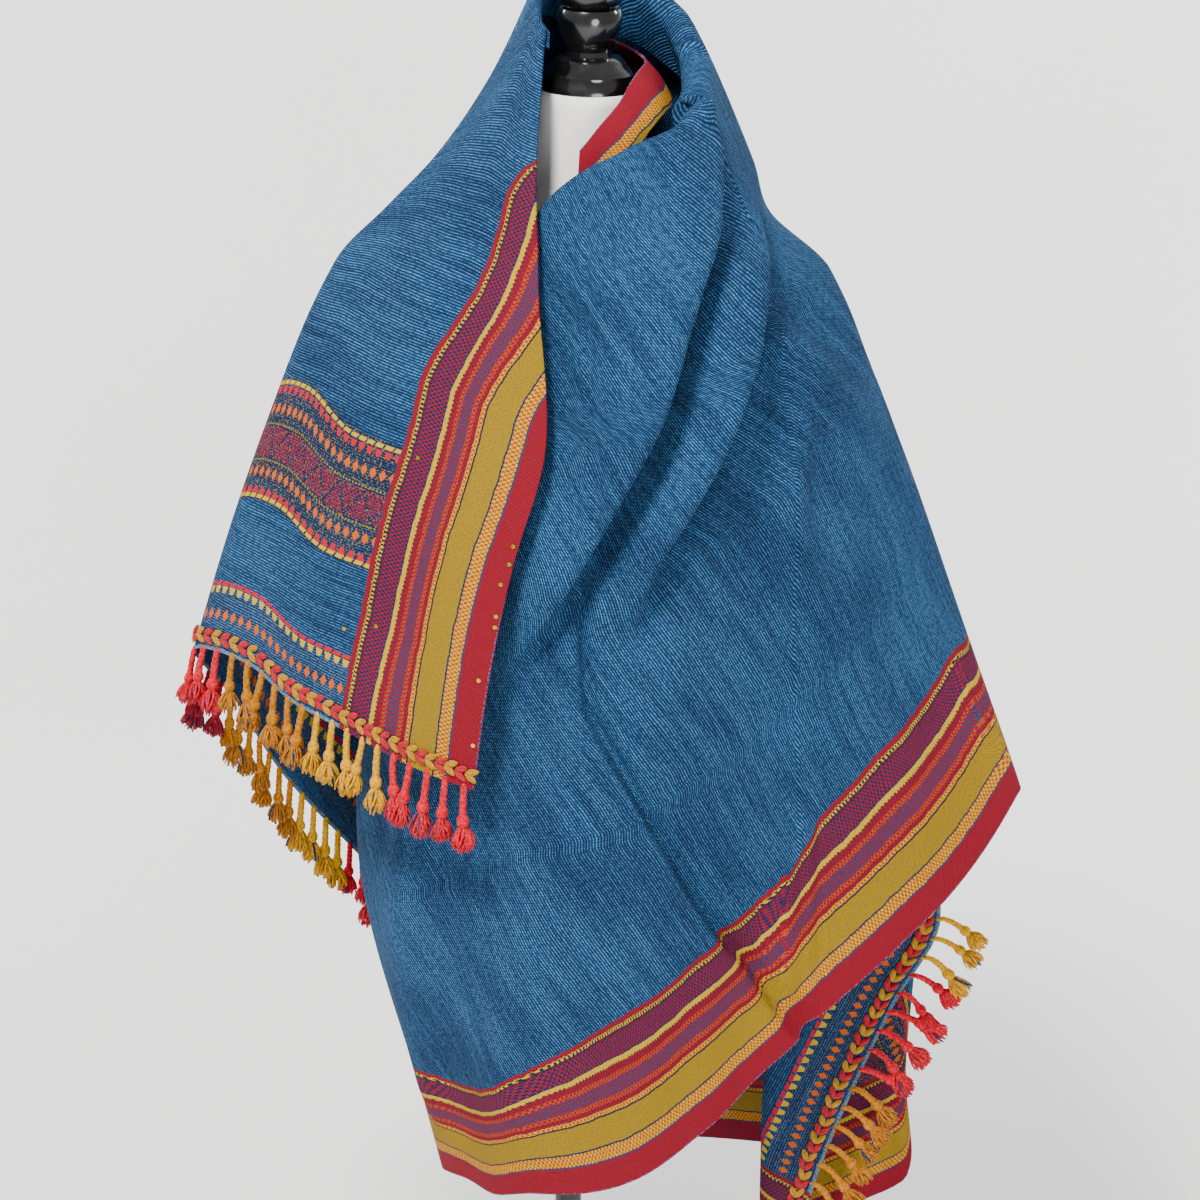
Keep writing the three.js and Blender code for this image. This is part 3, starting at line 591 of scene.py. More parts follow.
# How wide the low striped border shows, by turn, and how much of the high one the front edge of
# the fall turns under, by height in metres.
LOW_BORDER = table("""
turn width
174 0.139
240 0.145
258 0.178
266 0.172
272 0.150
276 0.142
282 0.155
289 0.152
296 0.148
304 0.128
311 0.141
318 0.153
335 0.158
350 0.159
359 0.149
368 0.137
376 0.122
386 0.108
398 0.113
421 0.118
443 0.120
500 0.120
616 0.120
""")
TURNED_UNDER = table("""
height width
0.8 0
0.94 0
1.03 0.004
1.08 0.006
1.117 0.0125
1.147 0.030
1.171 0.049
1.204 0.073
1.255 0.097
1.281 0.108
1.301 0.125
1.318 0.150
1.34 0.170
""")
# Above the cut end of the fall, how far a place lies from the end and towards the high selvedge,
# for each millimetre up its column.
FALL_SLANT = table("""
turn end low
20 0.92 0
91 0.92 0
110 0.68 0.42
130 0.61 0.72
150 0.59 0.80
174 0.57 0.82
""")
NEAR_COLUMNS, BACK_COLUMNS, FAR_COLUMNS = 3, 12, 36


def cut_places(grid, turns):
    """Distances on the flat cloth: from its cut end, from the low selvedge and from the high one."""
    up, hem = up_from_hem(grid), grid[:, -1]
    run = run_along(hem, 0)
    run = run - np.interp(FAR_CORNER_TURN, turns, run)
    before = turns < FAR_CORNER_TURN
    tangent = unit(np.gradient(hem, axis=0))
    climb = np.clip(np.sum(unit(grid[:, -13] - hem) * tangent, axis=-1), -1, 1)
    level = np.sqrt(1 - climb**2)
    lean = np.where(before, np.arctan2(-climb, level), np.arctan2(level, climb))
    near = np.where(turns < FRONT_WRAP_TURN, averaged(lean, BACK_COLUMNS), averaged(lean, NEAR_COLUMNS))
    near, far = near[:, None], averaged(lean, FAR_COLUMNS)[:, None]
    lean = near + (far - near) * smooth((up - 0.25) / 0.4)
    fall_end = along(FALL_SLANT, "end", turns)[:, None] * up
    fall_low = along(FALL_SLANT, "low", turns)[:, None] * up - run[:, None]
    from_end = np.where(before[:, None], fall_end, run[:, None] + up * np.cos(lean))
    from_low = np.where(before[:, None], fall_low, up * np.sin(lean))
    crest = TUCK_ROWS + ROLL_ROWS
    down = run_along(grid, 1)
    hidden = np.clip(along(TURNED_UNDER, "width", np.clip(grid[:1, :, 2], 0.8, 1.34)), 0, 1)
    turned_in = BORDER + 0.1 + down - down[:, crest : crest + 1]
    from_high = np.minimum(turned_in, run_along(grid, 0) + hidden)
    return from_end, from_low, from_high


# The ribs of the plain field lie evenly on the hanging cloth. Each zone of turns has its middle
# turn and the slant of its ribs.
RIB_ZONES = [
    (CORNER_TURN - 1, WING_TIP_TURN, 57, 98.5),
    (WING_TIP_TURN, FRONT_WRAP_TURN, 180, 40),
    (FRONT_WRAP_TURN, TAIL_SEAM + 1, 340, -36),
]


def rib_places(grid, turns):
    """Distances across the ribs and along them."""
    up = up_from_hem(grid) + grid[:, -1:, 2]
    run = run_along(grid, 0)
    across, down = np.zeros_like(up), np.zeros_like(up)
    for first, last, middle, slant in RIB_ZONES:
        part = (turns >= first) & (turns < last)
        start = np.array([np.interp(middle, turns, column) for column in run.T])
        x = run[part] - start
        angle = math.radians(slant)
        across[part] = x * math.cos(angle) + up[part] * math.sin(angle)
        down[part] = x * math.sin(angle) - up[part] * math.cos(angle)
    return across, down


# ---- the shawl's pieces


chance = np.random.default_rng(11)
BREAK = 0.03  # the ribs change their way within so many degrees of a wing's tip
turns = np.concatenate([
    spread(CORNER_TURN, WING_TIP_TURN - BREAK, 5.5),
    [WING_TIP_TURN - BREAK],
    spread(WING_TIP_TURN + BREAK, FRONT_WRAP_TURN, 7),
    spread(FRONT_WRAP_TURN, 290, 4.5),
    spread(290, 392, 3.1),
    spread(392, HIP_SEAM, 6),
    spread(HIP_SEAM, TAIL_SEAM, 12),
    [TAIL_SEAM],
])
winding_grid = winding(turns)
from_end, from_low, from_high = cut_places(winding_grid, turns)
low_width = np.where(turns < FAR_CORNER_TURN, BORDER, along(LOW_BORDER, "width", turns))
low_share = from_low * BORDER / low_width[:, None]
across_ribs, along_ribs = rib_places(winding_grid, turns)


def stretch(name, first, last, nodes):
    """One stretch of the wound cloth, with the solids that it stands for."""
    part = (turns >= first - 1e-6) & (turns <= last + 1e-6)
    maps = {
        "ends": pair(from_end[part], from_low[part]),
        "sides": pair(from_high[part], low_share[part]),
        "ribs": pair(across_ribs[part], along_ribs[part]),
    }
    declare_cloth(cloth_wall(name, winding_grid[part], maps), nodes)


def declare_cloth(piece, nodes):
    fit(piece, "indigo_wool", *nodes)


def neck_edge():
    """The red selvedge that stands up round the neck."""
    turn = np.linspace(NECK_EDGE["turn"][0], NECK_EDGE["turn"][-1], 72)[:, None]
    t = np.linspace(0, 1, 13)[None, :]
    row = {name: along(NECK_EDGE, name, turn) for name in NECK_EDGE}
    reach = row["reach"] + (row["tuckReach"] - row["reach"]) * t
    reach = reach + 0.8 * np.sin(turn / 5.3 + 2 * t) * np.sin(math.pi * t)
    height = row["height"] + (row["tuckHeight"] - row["height"]) * t + 3 * np.sin(math.pi * t)
    grid = round_axis(turn, reach, height) * MM
    across, down = run_along(grid, 0), run_along(grid, 1)
    maps = {
        "ends": pair(0.4 + across, 0.9 - down),
        "sides": pair(down, 0.9 - down),
        "ribs": pair(across, down),
    }
    piece = cloth_wall("neck_edge_cloth", grid, maps)
    fit(piece, "crimson_selvedge", "shawl_neck_edge")


TAIL_KNOTS = np.array([0, 0.75, 1, 1.25, 1.5, 1.75, 2, 2.25, 2.6, 3])
TAIL_COLUMNS, TAIL_ROWS = 74, 76


def tail_route(height):
    """Plan places of the tail's folds and edges at one height, in the order of its knots."""
    row = {name: float(along(TAIL, name, height)) for name in TAIL}
    seam = cloth(np.array(float(TAIL_SEAM)), np.array(float(height)))
    off = TAIL_FOLD_RADIUS
    right, left = (row["rightX"], row["rightY"]), (row["leftX"], row["leftY"])
    edge = (row["edgeX"], row["edgeY"])
    return np.array([
        (seam[0] + 0.6, seam[1] - 0.9),
        (right[0] - off * 0.6, right[1] + off),
        right,
        (right[0] - off * 0.8, right[1] - off),
        ((right[0] + left[0]) / 2, (right[1] + left[1]) / 2 - off * 0.2),
        (left[0] + off, left[1] + off),
        left,
        (left[0] + off, left[1] - off),
        ((edge[0] + left[0] + off) / 2, (edge[1] + left[1]) / 2 - off),
        (edge[0], edge[1] - off),
    ])


def centripetal(knots, share):
    """Places on a centripetal Catmull-Rom curve, at shares of its run of knots."""
    ends = np.array([2 * knots[0] - knots[1], 2 * knots[-1] - knots[-2]])
    points = np.vstack([ends[0], knots, ends[1]])
    at = np.clip(share, 0, 1) * (len(knots) - 1)
    k = np.minimum(at.astype(int), len(knots) - 2)
    w = (at - k)[:, None]
    p0, p1, p2, p3 = (points[k + j] for j in range(4))
    d0, d1, d2 = (
        np.maximum(np.linalg.norm(b - a, axis=1), 1e-6)[:, None] ** 0.5
        for a, b in ((p0, p1), (p1, p2), (p2, p3))
    )
    m1 = ((p1 - p0) / d0 - (p2 - p0) / (d0 + d1) + (p2 - p1) / d1) * d1
    m2 = ((p2 - p1) / d1 - (p3 - p1) / (d1 + d2) + (p3 - p2) / d2) * d1
    return cubic(p1, p2, m1, m2, 1, w)


def tail_grid():
    stops = np.linspace(0, 3, TAIL_COLUMNS)
    hems = np.interp(stops, np.arange(4), TAIL_HEMS)
    order = along({"stop": TAIL_KNOTS, "order": np.arange(10.0)}, "order", stops)
    levels = np.arange(hems.min(), TAIL["height"][0] + 12, 12)
    plans = np.array([centripetal(tail_route(level), order / 9) for level in levels])
    grid = np.empty((TAIL_COLUMNS, TAIL_ROWS, 3))
    for i, hem in enumerate(hems):
        height = np.linspace(TAIL["height"][0], hem, TAIL_ROWS)
        grid[i, :, 0] = np.interp(height, levels, plans[:, i, 0])
        grid[i, :, 1] = np.interp(height, levels, plans[:, i, 1])
        grid[i, :, 2] = height
    return grid * MM


# ---- edges, braids and fringes


def resampled(points, spacing):
    """Points evenly spaced along a line, at the middles of equal steps."""
    run = run_along(points[:, :3], 0)
    count = int(run[-1] / spacing)
    at = (np.arange(count) + 0.5) * run[-1] / count
    return np.stack([np.interp(at, run, column) for column in points.T], axis=1)


def hem_posts(grid):
    """A row for each column of a cut hem: its place, then unit vectors beyond it and out of the face."""
    beyond = unit(grid[:, -1] - grid[:, -4])
    return np.hstack([grid[:, -1], beyond, grid_normals(grid)[:, -1]])


def posts_along(posts, spacing):
    """Evenly spaced posts: place, then unit vectors beyond the edge, out of the face and along it."""
    rows = resampled(posts, spacing * MM)
    sides = unit(np.gradient(rows[:, :3], axis=0))
    return [(row[:3], unit(row[3:6]), unit(row[6:9]), side) for row, side in zip(rows, sides)]


def leaf_points():
    """One leaf-shaped stitch lying along +X, with its faces."""
    bpy.ops.object.select_all(action="DESELECT")
    bpy.ops.mesh.primitive_uv_sphere_add(segments=8, ring_count=6, radius=1, location=(0, 0, 0))
    leaf = bpy.context.object
    leaf.rotation_euler = (0, math.pi / 2, 0)
    bpy.ops.object.transform_apply(location=False, rotation=True, scale=False)
    points = np.array([vertex.co[:] for vertex in leaf.data.vertices])
    faces = [list(face.vertices) for face in leaf.data.polygons]
    bpy.data.objects.remove(leaf)
    return points, faces


LEAF = {"length": 13.6, "width": 6.2, "thick": 1.9, "pitch": 9.4, "open": 28}


BRAID_INSET = 13  # from the cut edge to the braid's middle


def braid(name, node, posts):
    """A plait of stitches: each is two leaves that open from one point, red and yellow by turns."""
    leaf, faces = leaf_points()
    points, quads, dye, threads = [], [], [], []
    for k, (place, beyond, out, side) in enumerate(posts_along(posts, LEAF["pitch"])):
        side = -side
        beyond = unit(beyond - side * (beyond @ side))
        tip = place - beyond * (BRAID_INSET + 0.5 * chance.normal()) * MM - side * 5 * MM + out * 0.9 * MM
        for half in (-1, 1):
            angle = math.radians(LEAF["open"] * half + 3 * chance.normal())
            lie = side * math.cos(angle) + beyond * math.sin(angle) + out * 0.05
            across = np.cross(out, lie)
            length = LEAF["length"] * chance.uniform(0.92, 1.06)
            size = np.array([length / 2, LEAF["width"] / 2, LEAF["thick"]]) * MM
            taper = 1 - 0.4 * leaf[:, :1] ** 2
            spots = (leaf + np.array([1, 0, 0])) * size
            spots = tip + spots[:, :1] * lie + spots[:, 1:2] * across * taper + spots[:, 2:] * out
            quads += [[index + len(points) * len(leaf) for index in face] for face in faces]
            points.append(spots)
            threads.append(leaf[:, :2] * size[:2] + 0.01 * len(points))
            dye.append(np.full(len(leaf), DYES["crimson"] if k % 2 else DYES["yellow"]))
    maps = {"threads": np.concatenate(threads)}
    piece = new_piece(name, np.concatenate(points), quads, stitched_wool, maps, {"dye": np.concatenate(dye)})
    fit(piece, "stitched_braid", node)


# A wrapped tassel hangs along -Z from its root. Each row is a section: how far down, and its radius.
CORD = table("""
down radius
-4 1.8
0 2.8
3 3.0
4.5 2.4
7 3.0
8.5 2.6
12 3.2
13.5 2.6
17 3.2
18.5 2.6
22 3.3
23.5 2.8
25 4.1
28 5.2
31 5.0
33.5 3.5
35 2.7
""")
CORD_SIDES, YARNS, YARN_STEPS = 8, 54, 4
CORD_LENGTH, TUFT_LENGTH, TUFT_SPREAD = 34, 23, 10.5


def tassel():
    """One tassel's points in millimetres, its faces, and 1 on the yarns of another colour."""
    angle = np.arange(CORD_SIDES) * 2 * math.pi / CORD_SIDES
    ring = np.stack([np.cos(angle), np.sin(angle)], axis=-1)
    sections = zip(CORD["down"], CORD["radius"])
    points = [np.hstack([ring * radius, np.full((CORD_SIDES, 1), -down)]) for down, radius in sections]
    faces = tube_faces(len(points), CORD_SIDES, 0)
    odd = [np.zeros(len(points) * CORD_SIDES)]
    count = len(points) * CORD_SIDES
    triangle = np.radians([90, 210, 330])
    for k in range(YARNS):
        share = (k + 0.5) / YARNS
        turn, flare = k * 2.39996, math.sqrt(share)
        length = TUFT_LENGTH * (1 - 0.25 * flare**2) * chance.uniform(0.84, 1.06)
        curl = chance.normal(0, 0.6)
        thick = chance.uniform(0.72, 1.05)
        for step in range(YARN_STEPS + 1):
            t = step / YARN_STEPS
            reach = flare * (2.2 + TUFT_SPREAD * (1 - (1 - t) ** 1.7)) * 0.82
            bend = turn + curl * t
            width = thick * (1 + 0.25 * math.sin(math.pi * t))
            middle = np.array([reach * math.cos(bend), reach * math.sin(bend), -CORD_LENGTH + 2 - length * t])
            spot = np.stack([np.cos(triangle) * width, np.sin(triangle) * width, 0 * triangle], axis=-1)
            points.append(middle + spot)
        faces += tube_faces(YARN_STEPS + 1, 3, count)
        odd.append(np.full((YARN_STEPS + 1) * 3, float(k % 9 == 4)))
        count += (YARN_STEPS + 1) * 3
    return np.concatenate(points), faces, np.concatenate(odd)


def tube_faces(rings, sides, start):
    """Faces of a closed tube whose rings run down it."""
    faces = []
    for j in range(rings - 1):
        for k in range(sides):
            a, b = start + j * sides + k, start + j * sides + (k + 1) % sides
            faces.append([a, a + sides, b + sides, b])
    end = start + (rings - 1) * sides
    return faces + [list(range(start, start + sides)), list(range(end + sides - 1, end - 1, -1))]


DYES = {"crimson": 0.05, "madder": 0.25, "yellow": 0.45, "ochre": 0.65, "blue": 0.85}
DOWN = np.array([0, 0, -1.0])


def partners(count):
    """Which way each cord leans to meet its neighbour: about half of them lean in pairs."""
    lean, k = np.zeros(count), 0
    while k < count - 1:
        if chance.uniform() < 0.35:
            lean[k : k + 2] = 0.72, -0.72
            k += 1
        k += 1
    return lean


def fringe(name, node, slot, posts, spacing, droop, dyes):
    """Tassels hang from a cut edge. Dyes are rows of a colour and the share of the edge it ends at."""
    points, faces, odd = tassel()
    spots, quads, dye = [], [], []
    rows = posts_along(posts, spacing)
    partner = partners(len(rows))
    for k, (place, beyond, out, side) in enumerate(rows):
        toward = partner[k] * spacing * MM / 2 / (CORD_LENGTH * MM) + chance.normal(0, 0.06)
        lie = toward * side + chance.uniform(0, 0.1) * out
        fall = unit(beyond * (1 - droop) + DOWN * droop + lie)
        root = place - out * WALL / 2
        turn, size = chance.uniform(0, 2 * math.pi), chance.uniform(0.92, 1.08)
        spin = points[:, :2] @ np.array([[math.cos(turn), math.sin(turn)], [-math.sin(turn), math.cos(turn)]])
        down = -points[:, 2:] * size * MM
        start = 0.012 * (1 - np.exp(-np.maximum(down, 0) / 0.012)) + np.minimum(down, 0)
        across = unit(np.cross(side, fall))
        middle = root + beyond * start + fall * (down - start)
        wide = unit(side - fall * (side @ fall))
        spots.append(middle + (spin[:, :1] * wide + spin[:, 1:] * across) * size * MM)
        quads += [[index + k * len(points) for index in face] for face in faces]
        share = (k + 0.5) / len(rows)
        own = next(DYES[colour] for colour, end in dyes if share <= end)
        speck = DYES["blue"] if k % 3 else own
        dye.append(np.where(odd > 0, speck, own))
    piece = new_piece(name, np.concatenate(spots), quads, tassel_wool, {}, {"dye": np.concatenate(dye)})
    fit(piece, slot, node)


# ---- the dress form


def torso():
    """The form's body: a skin lofted through the table's sections, closed at both ends."""
    heights = np.linspace(TORSO_BOTTOM, NECK_TOP, 90)
    turn = -np.arange(96) * 360 / 96
    reach = torso_reach(turn[:, None], heights[None, :])
    grid = round_axis(turn[:, None], reach, heights) * MM
    points = grid.transpose(1, 0, 2)[::-1].reshape(-1, 3)
    faces = tube_faces(len(heights), len(turn), 0)
    piece = new_piece("form_body", points, faces, white_jersey)
    fit(piece, "white_form", "form_torso")


EASED_EDGE = math.radians(40)


def turned(name, node, slot, material, foot, profile, steps=64):
    """A lathe-turned piece: a disc extruded up its outline, a radius and height at a time."""
    bpy.ops.object.select_all(action="DESELECT")
    radius, low = profile[0]
    start = (0, 0, (foot + low) * MM)
    bpy.ops.mesh.primitive_circle_add(vertices=steps, radius=radius * MM, fill_type="NGON", location=start)
    piece = bpy.context.object
    piece.name = name
    bpy.ops.object.transform_apply(location=True, rotation=False, scale=False)
    bpy.ops.object.mode_set(mode="EDIT")
    bpy.ops.mesh.select_all(action="SELECT")
    for (before, height), (after, top) in zip(profile, profile[1:]):
        bpy.ops.mesh.extrude_region_move(TRANSFORM_OT_translate={"value": (0, 0, (top - height) * MM)})
        ratio = after / before
        bpy.ops.transform.resize(value=(ratio, ratio, 1), center_override=(0, 0, 0))
    bpy.ops.mesh.select_all(action="SELECT")
    bpy.ops.mesh.normals_make_consistent(inside=False)
    bpy.ops.object.mode_set(mode="OBJECT")
    bpy.ops.object.shade_smooth_by_angle(angle=EASED_EDGE)
    piece.data.materials.append(material)
    fit(piece, slot, node)


# Gold sequins: how far each lies from the front edge of the fall, and its height.
SEQUINS = table("""
edge height
4 1016
3 1002
6 985
4 957
3 948
8 902
5 846
118 1056
122 905
150 893
""")


def sequins(grid):
    """Small gold discs sewn flat on the fall."""
    normals, run = grid_normals(grid), run_along(grid, 0)
    on_roll = np.arange(grid.shape[1]) < TUCK_ROWS + ROLL_ROWS
    discs = []
    for edge, height in zip(SEQUINS["edge"] * MM, SEQUINS["height"] * MM):
        j = int(np.argmin(np.abs(grid[0, :, 2] - height) + on_roll))
        i = max(1, int(np.searchsorted(run[:, j], edge)))
        t = (edge - run[i - 1, j]) / (run[i, j] - run[i - 1, j])
        place = Vector(grid[i - 1, j] * (1 - t) + grid[i, j] * t + normals[i, j] * 0.6 * MM)
        bpy.ops.object.select_all(action="DESELECT")
        bpy.ops.mesh.primitive_cylinder_add(vertices=20, radius=1.9 * MM, depth=0.5 * MM, location=place)
        disc = bpy.context.object
        disc.rotation_euler = Vector(normals[i, j]).to_track_quat("Z", "Y").to_euler()
        discs.append(disc)
    for disc in discs:
        disc.select_set(True)
    bpy.context.view_layer.objects.active = discs[0]
    bpy.ops.object.join()
    piece = bpy.context.object
    piece.name = "sequins"
    bpy.ops.object.transform_apply(location=True, rotation=True, scale=True)
    bpy.ops.object.shade_smooth_by_angle(angle=EASED_EDGE)
    piece.data.materials.append(gold)
    fit(piece, "stitched_braid")


# ---- shader arithmetic


def binary(operation):
    """A method that adds one Math node."""

    def method(self, other):
        return self.math(operation, self, other)

    return method


class Signal:
    """A socket of a material. Arithmetic on it adds Math nodes."""

    def __init__(self, tree, socket=None):
        self.tree, self.socket = tree, socket

    def node(self, kind, settings, values, out=0):
        """A new node: settings come first, then its sockets' values or links."""
        added = self.tree.nodes.new(kind)
        for name, value in settings.items():
            setattr(added, name, value)
        for place, value in values.items():
            if isinstance(value, Signal):
                self.tree.links.new(value.socket, added.inputs[place])
            else:
                added.inputs[place].default_value = value
        return Signal(self.tree, added.outputs[out])

    def math(self, operation, *values):
        return self.node("ShaderNodeMath", {"operation": operation}, dict(enumerate(values)))

    __add__ = __radd__ = binary("ADD")
    __mul__ = __rmul__ = binary("MULTIPLY")
    __sub__, __truediv__ = binary("SUBTRACT"), binary("DIVIDE")
    __lt__, __gt__ = binary("LESS_THAN"), binary("GREATER_THAN")
    __mod__ = binary("FLOORED_MODULO")
    least, most = binary("MINIMUM"), binary("MAXIMUM")

    def __rsub__(self, other):
        return self.math("SUBTRACT", other, self)

    def __abs__(self):
        return self.math("ABSOLUTE", self)

    def wave(self, pitch):
        """Swings between -1 and 1, once each pitch."""
        return self.math("SINE", self * (2 * math.pi / pitch))

    def second(self):
        """The node's second output."""
        return Signal(self.tree, self.socket.node.outputs[1])

    def into(self, shader, name):
        self.tree.links.new(self.socket, shader.inputs[name])

    def within(self, low, high):
        return (self > low) * (self < high)

    def eased(self, low, high, start=0.0, end=1.0):
        """Goes smoothly from start at low to end at high."""
        settings = {"interpolation_type": "SMOOTHSTEP"}
        return self.node("ShaderNodeMapRange", settings, {0: self, 1: low, 2: high, 3: start, 4: end})

    def colours(self, stops):
        """Plain colours side by side, each from its own place on."""
        banded = self.node("ShaderNodeValToRGB", {}, {0: self})
        ramp = banded.socket.node.color_ramp
        ramp.interpolation = "CONSTANT"
        while len(ramp.elements) < len(stops):
            ramp.elements.new(1.0)
        for element, (place, colour) in zip(ramp.elements, stops):
            element.position, element.color = place, colour
        return banded

    def mix(self, first, second):
        """The first colour where this is 0, and the second where it is 1."""
        return self.node("ShaderNodeMix", {"data_type": "RGBA"}, {0: self, 6: first, 7: second}, 2)

    def noise(self, across, down, detail=2.0, roughness=0.6):
        """Noise with cells so many metres long across and down a pair of distances."""
        apart = self.node("ShaderNodeSeparateXYZ", {}, {0: self})
        place = self.node("ShaderNodeCombineXYZ", {}, {0: apart / across, 1: apart.second() / down})
        values = {"Vector": place, "Scale": 1.0, "Detail": detail, "Roughness": roughness}
        return self.node("ShaderNodeTexNoise", {"noise_dimensions": "2D"}, values)


def rgb(red, green, blue):
    """A screen colour of 0 to 255 as the linear colour that a node takes."""
    linear = [((v / 255 + 0.055) / 1.055) ** 2.4 if v > 10 else v / 255 / 12.92 for v in (red, green, blue)]
    return (*linear, 1.0)


def new_material(name, roughness, sheen=0.0, sheen_roughness=0.5, specular=0.5, coat=0.0, metallic=0.0):
    """A material with its constant values set, its shader, and a first signal to build from."""
    material = bpy.data.materials.new(name)
    material.use_nodes = True
    shader = material.node_tree.nodes["Principled BSDF"]
    constants = {
        "Roughness": roughness, "Sheen Weight": sheen, "Sheen Roughness": sheen_roughness,
        "Specular IOR Level": specular, "Coat Weight": coat, "Metallic": metallic,
    }
    for label, value in constants.items():
        shader.inputs[label].default_value = value
    return material, shader, Signal(material.node_tree)


def finish_material(start, shader, colour, height, distance, strength=1.0):
    colour.into(shader, "Base Color")
    values = {"Height": height, "Distance": distance, "Strength": strength}
    start.node("ShaderNodeBump", {}, values).into(shader, "Normal")


def grain_of(start, scale, detail, roughness=0.5):
    """Noise in the piece's own space, with so many cells a metre."""
    place = start.node("ShaderNodeTexCoord", {}, {}, 3)
    values = {"Vector": place, "Scale": scale, "Detail": detail, "Roughness": roughness}
    return start.node("ShaderNodeTexNoise", {}, values)


def value_of(start, name):
    """The piece's own value at each point."""
    return start.node("ShaderNodeAttribute", {"attribute_name": name}, {}, 2)


# ---- finishes


NIGHT, INDIGO, SKY = rgb(12, 28, 50), rgb(22, 54, 92), rgb(98, 158, 202)
RED, DEEP_RED, ORANGE = rgb(136, 2, 26), rgb(108, 6, 36), rgb(178, 66, 6)
MUSTARD, YELLOW, PURPLE = rgb(152, 121, 0), rgb(204, 166, 6), rgb(18, 26, 66)

# The striped border from the selvedge inwards: where each stripe starts, as a share of its width,
# the stripe's own colour, and the colour of the yarn that shows in it as dashes.
STRIPES = [
    (0.0, RED, RED), (0.172, INDIGO, INDIGO), (0.186, YELLOW, ORANGE), (0.262, NIGHT, INDIGO),
    (0.275, MUSTARD, MUSTARD), (0.45, NIGHT, NIGHT), (0.462, ORANGE, YELLOW), (0.495, RED, DEEP_RED),
    (0.525, ORANGE, RED), (0.56, INDIGO, RED), (0.655, ORANGE, RED), (0.69, RED, DEEP_RED),
    (0.735, NIGHT, YELLOW), (0.745, YELLOW, YELLOW), (0.775, NIGHT, INDIGO), (0.785, PURPLE, rgb(138, 8, 38)),
    (0.915, NIGHT, DEEP_RED), (0.935, YELLOW, NIGHT), (0.962, RED, RED), (0.99, RED, INDIGO),
]
THREAD, STITCH, DOT = 0.0019, 0.0031, 0.0024  # pitches of the twill, the stitches and the dots

# The woven rows of the fringed end: how far from its edge, in metres.
LOW_DIAMONDS, LOW_TEETH, RED_TICKS = 0.032, 0.0535, 0.059
BAND_START, BAND_END = 0.134, 0.24
BAND_DIAMONDS, BAND_TEETH, BAND_TICKS = (0.1585, 0.2125), (0.1425, 0.229), (0.1375, 0.2355)
TRIANGLES_START, TRIANGLES_END, TRIANGLE = 0.1715, 0.1965, 0.027
DOTTED_LINES = (0.1685, 0.1995)
MOTIF = 0.0094  # pitch of the small motifs


def diamonds(end, low, middle, tall=0.0044, wide=0.0030):
    off = abs(low % MOTIF - MOTIF / 2) / wide
    level = abs(end - middle)
    stepped = (level - level % 0.0013) / tall
    return (off + stepped) < 1.0


def teeth(end, low, middle, up, wide=0.0036, tall=0.006):
    """Trapezoids that widen upwards or downwards."""
    off = abs(low % MOTIF - MOTIF / 2)
    share = (end - (middle - tall / 2)) / tall
    share = share if up else 1 - share
    return (off < (share * 0.5 + 0.5) * wide) * end.within(middle - tall / 2, middle + tall / 2)


def ticks(end, low, middle, tall=0.0036, part=0.78):
    slanted = (low - (end - middle) * 0.5) % MOTIF
    return (slanted < MOTIF * part) * end.within(middle - tall / 2, middle + tall / 2)


def woven_rows(colour, end, low, flecks):
    """The patterned rows over the plain field, from the cut edge inwards."""
    band = end.within(BAND_START, BAND_END)
    colour = (band * 0.55).mix(colour, NIGHT)
    specks = (flecks > 0.64) * band.eased(0.0, 1.0, 0.25, 0.7) * (band.most(end < 0.052))
    colour = specks.mix(colour, flecks.eased(0.68, 0.74).mix(DEEP_RED, MUSTARD))
    off = abs(low % TRIANGLE - TRIANGLE / 2) * (2 / TRIANGLE)
    share = (end - TRIANGLES_START) / (TRIANGLES_END - TRIANGLES_START)
    triangles = (off < (share - 0.1)).most(off > (share + 0.1)) * end.within(TRIANGLES_START, TRIANGLES_END)
    stipple = ((low + end) % 0.0044 < 0.0026) * ((low - end) % 0.0044 < 0.003)
    colour = (triangles * stipple).mix(colour, rgb(150, 16, 48))
    first, second = (abs(end - line) < 0.0008 for line in DOTTED_LINES)
    dots = ((low % 0.0036) < 0.0016) * first.most(second)
    colour = dots.mix(colour, MUSTARD)
    orange = diamonds(end, low, LOW_DIAMONDS)
    for middle in BAND_DIAMONDS:
        orange = orange.most(diamonds(end, low, middle))
    colour = orange.mix(colour, rgb(206, 92, 12))
    lower, upper = BAND_TEETH
    red = ticks(end, low, RED_TICKS).most(teeth(end, low, lower, False)).most(teeth(end, low, upper, True))
    colour = red.mix(colour, rgb(196, 14, 40))
    yellow = teeth(end, low, LOW_TEETH, True)
    for middle in BAND_TICKS:
        yellow = yellow.most(ticks(end, low, middle, 0.0034))
    return yellow.mix(colour, YELLOW)


RIB = 0.0024  # pitch of the field's ribs


def pair_of(start, name):
    """The two values of a map."""
    place = start.node("ShaderNodeUVMap", {"uv_map": name}, {})
    first = start.node("ShaderNodeSeparateXYZ", {}, {0: place})
    return place, first, first.second()


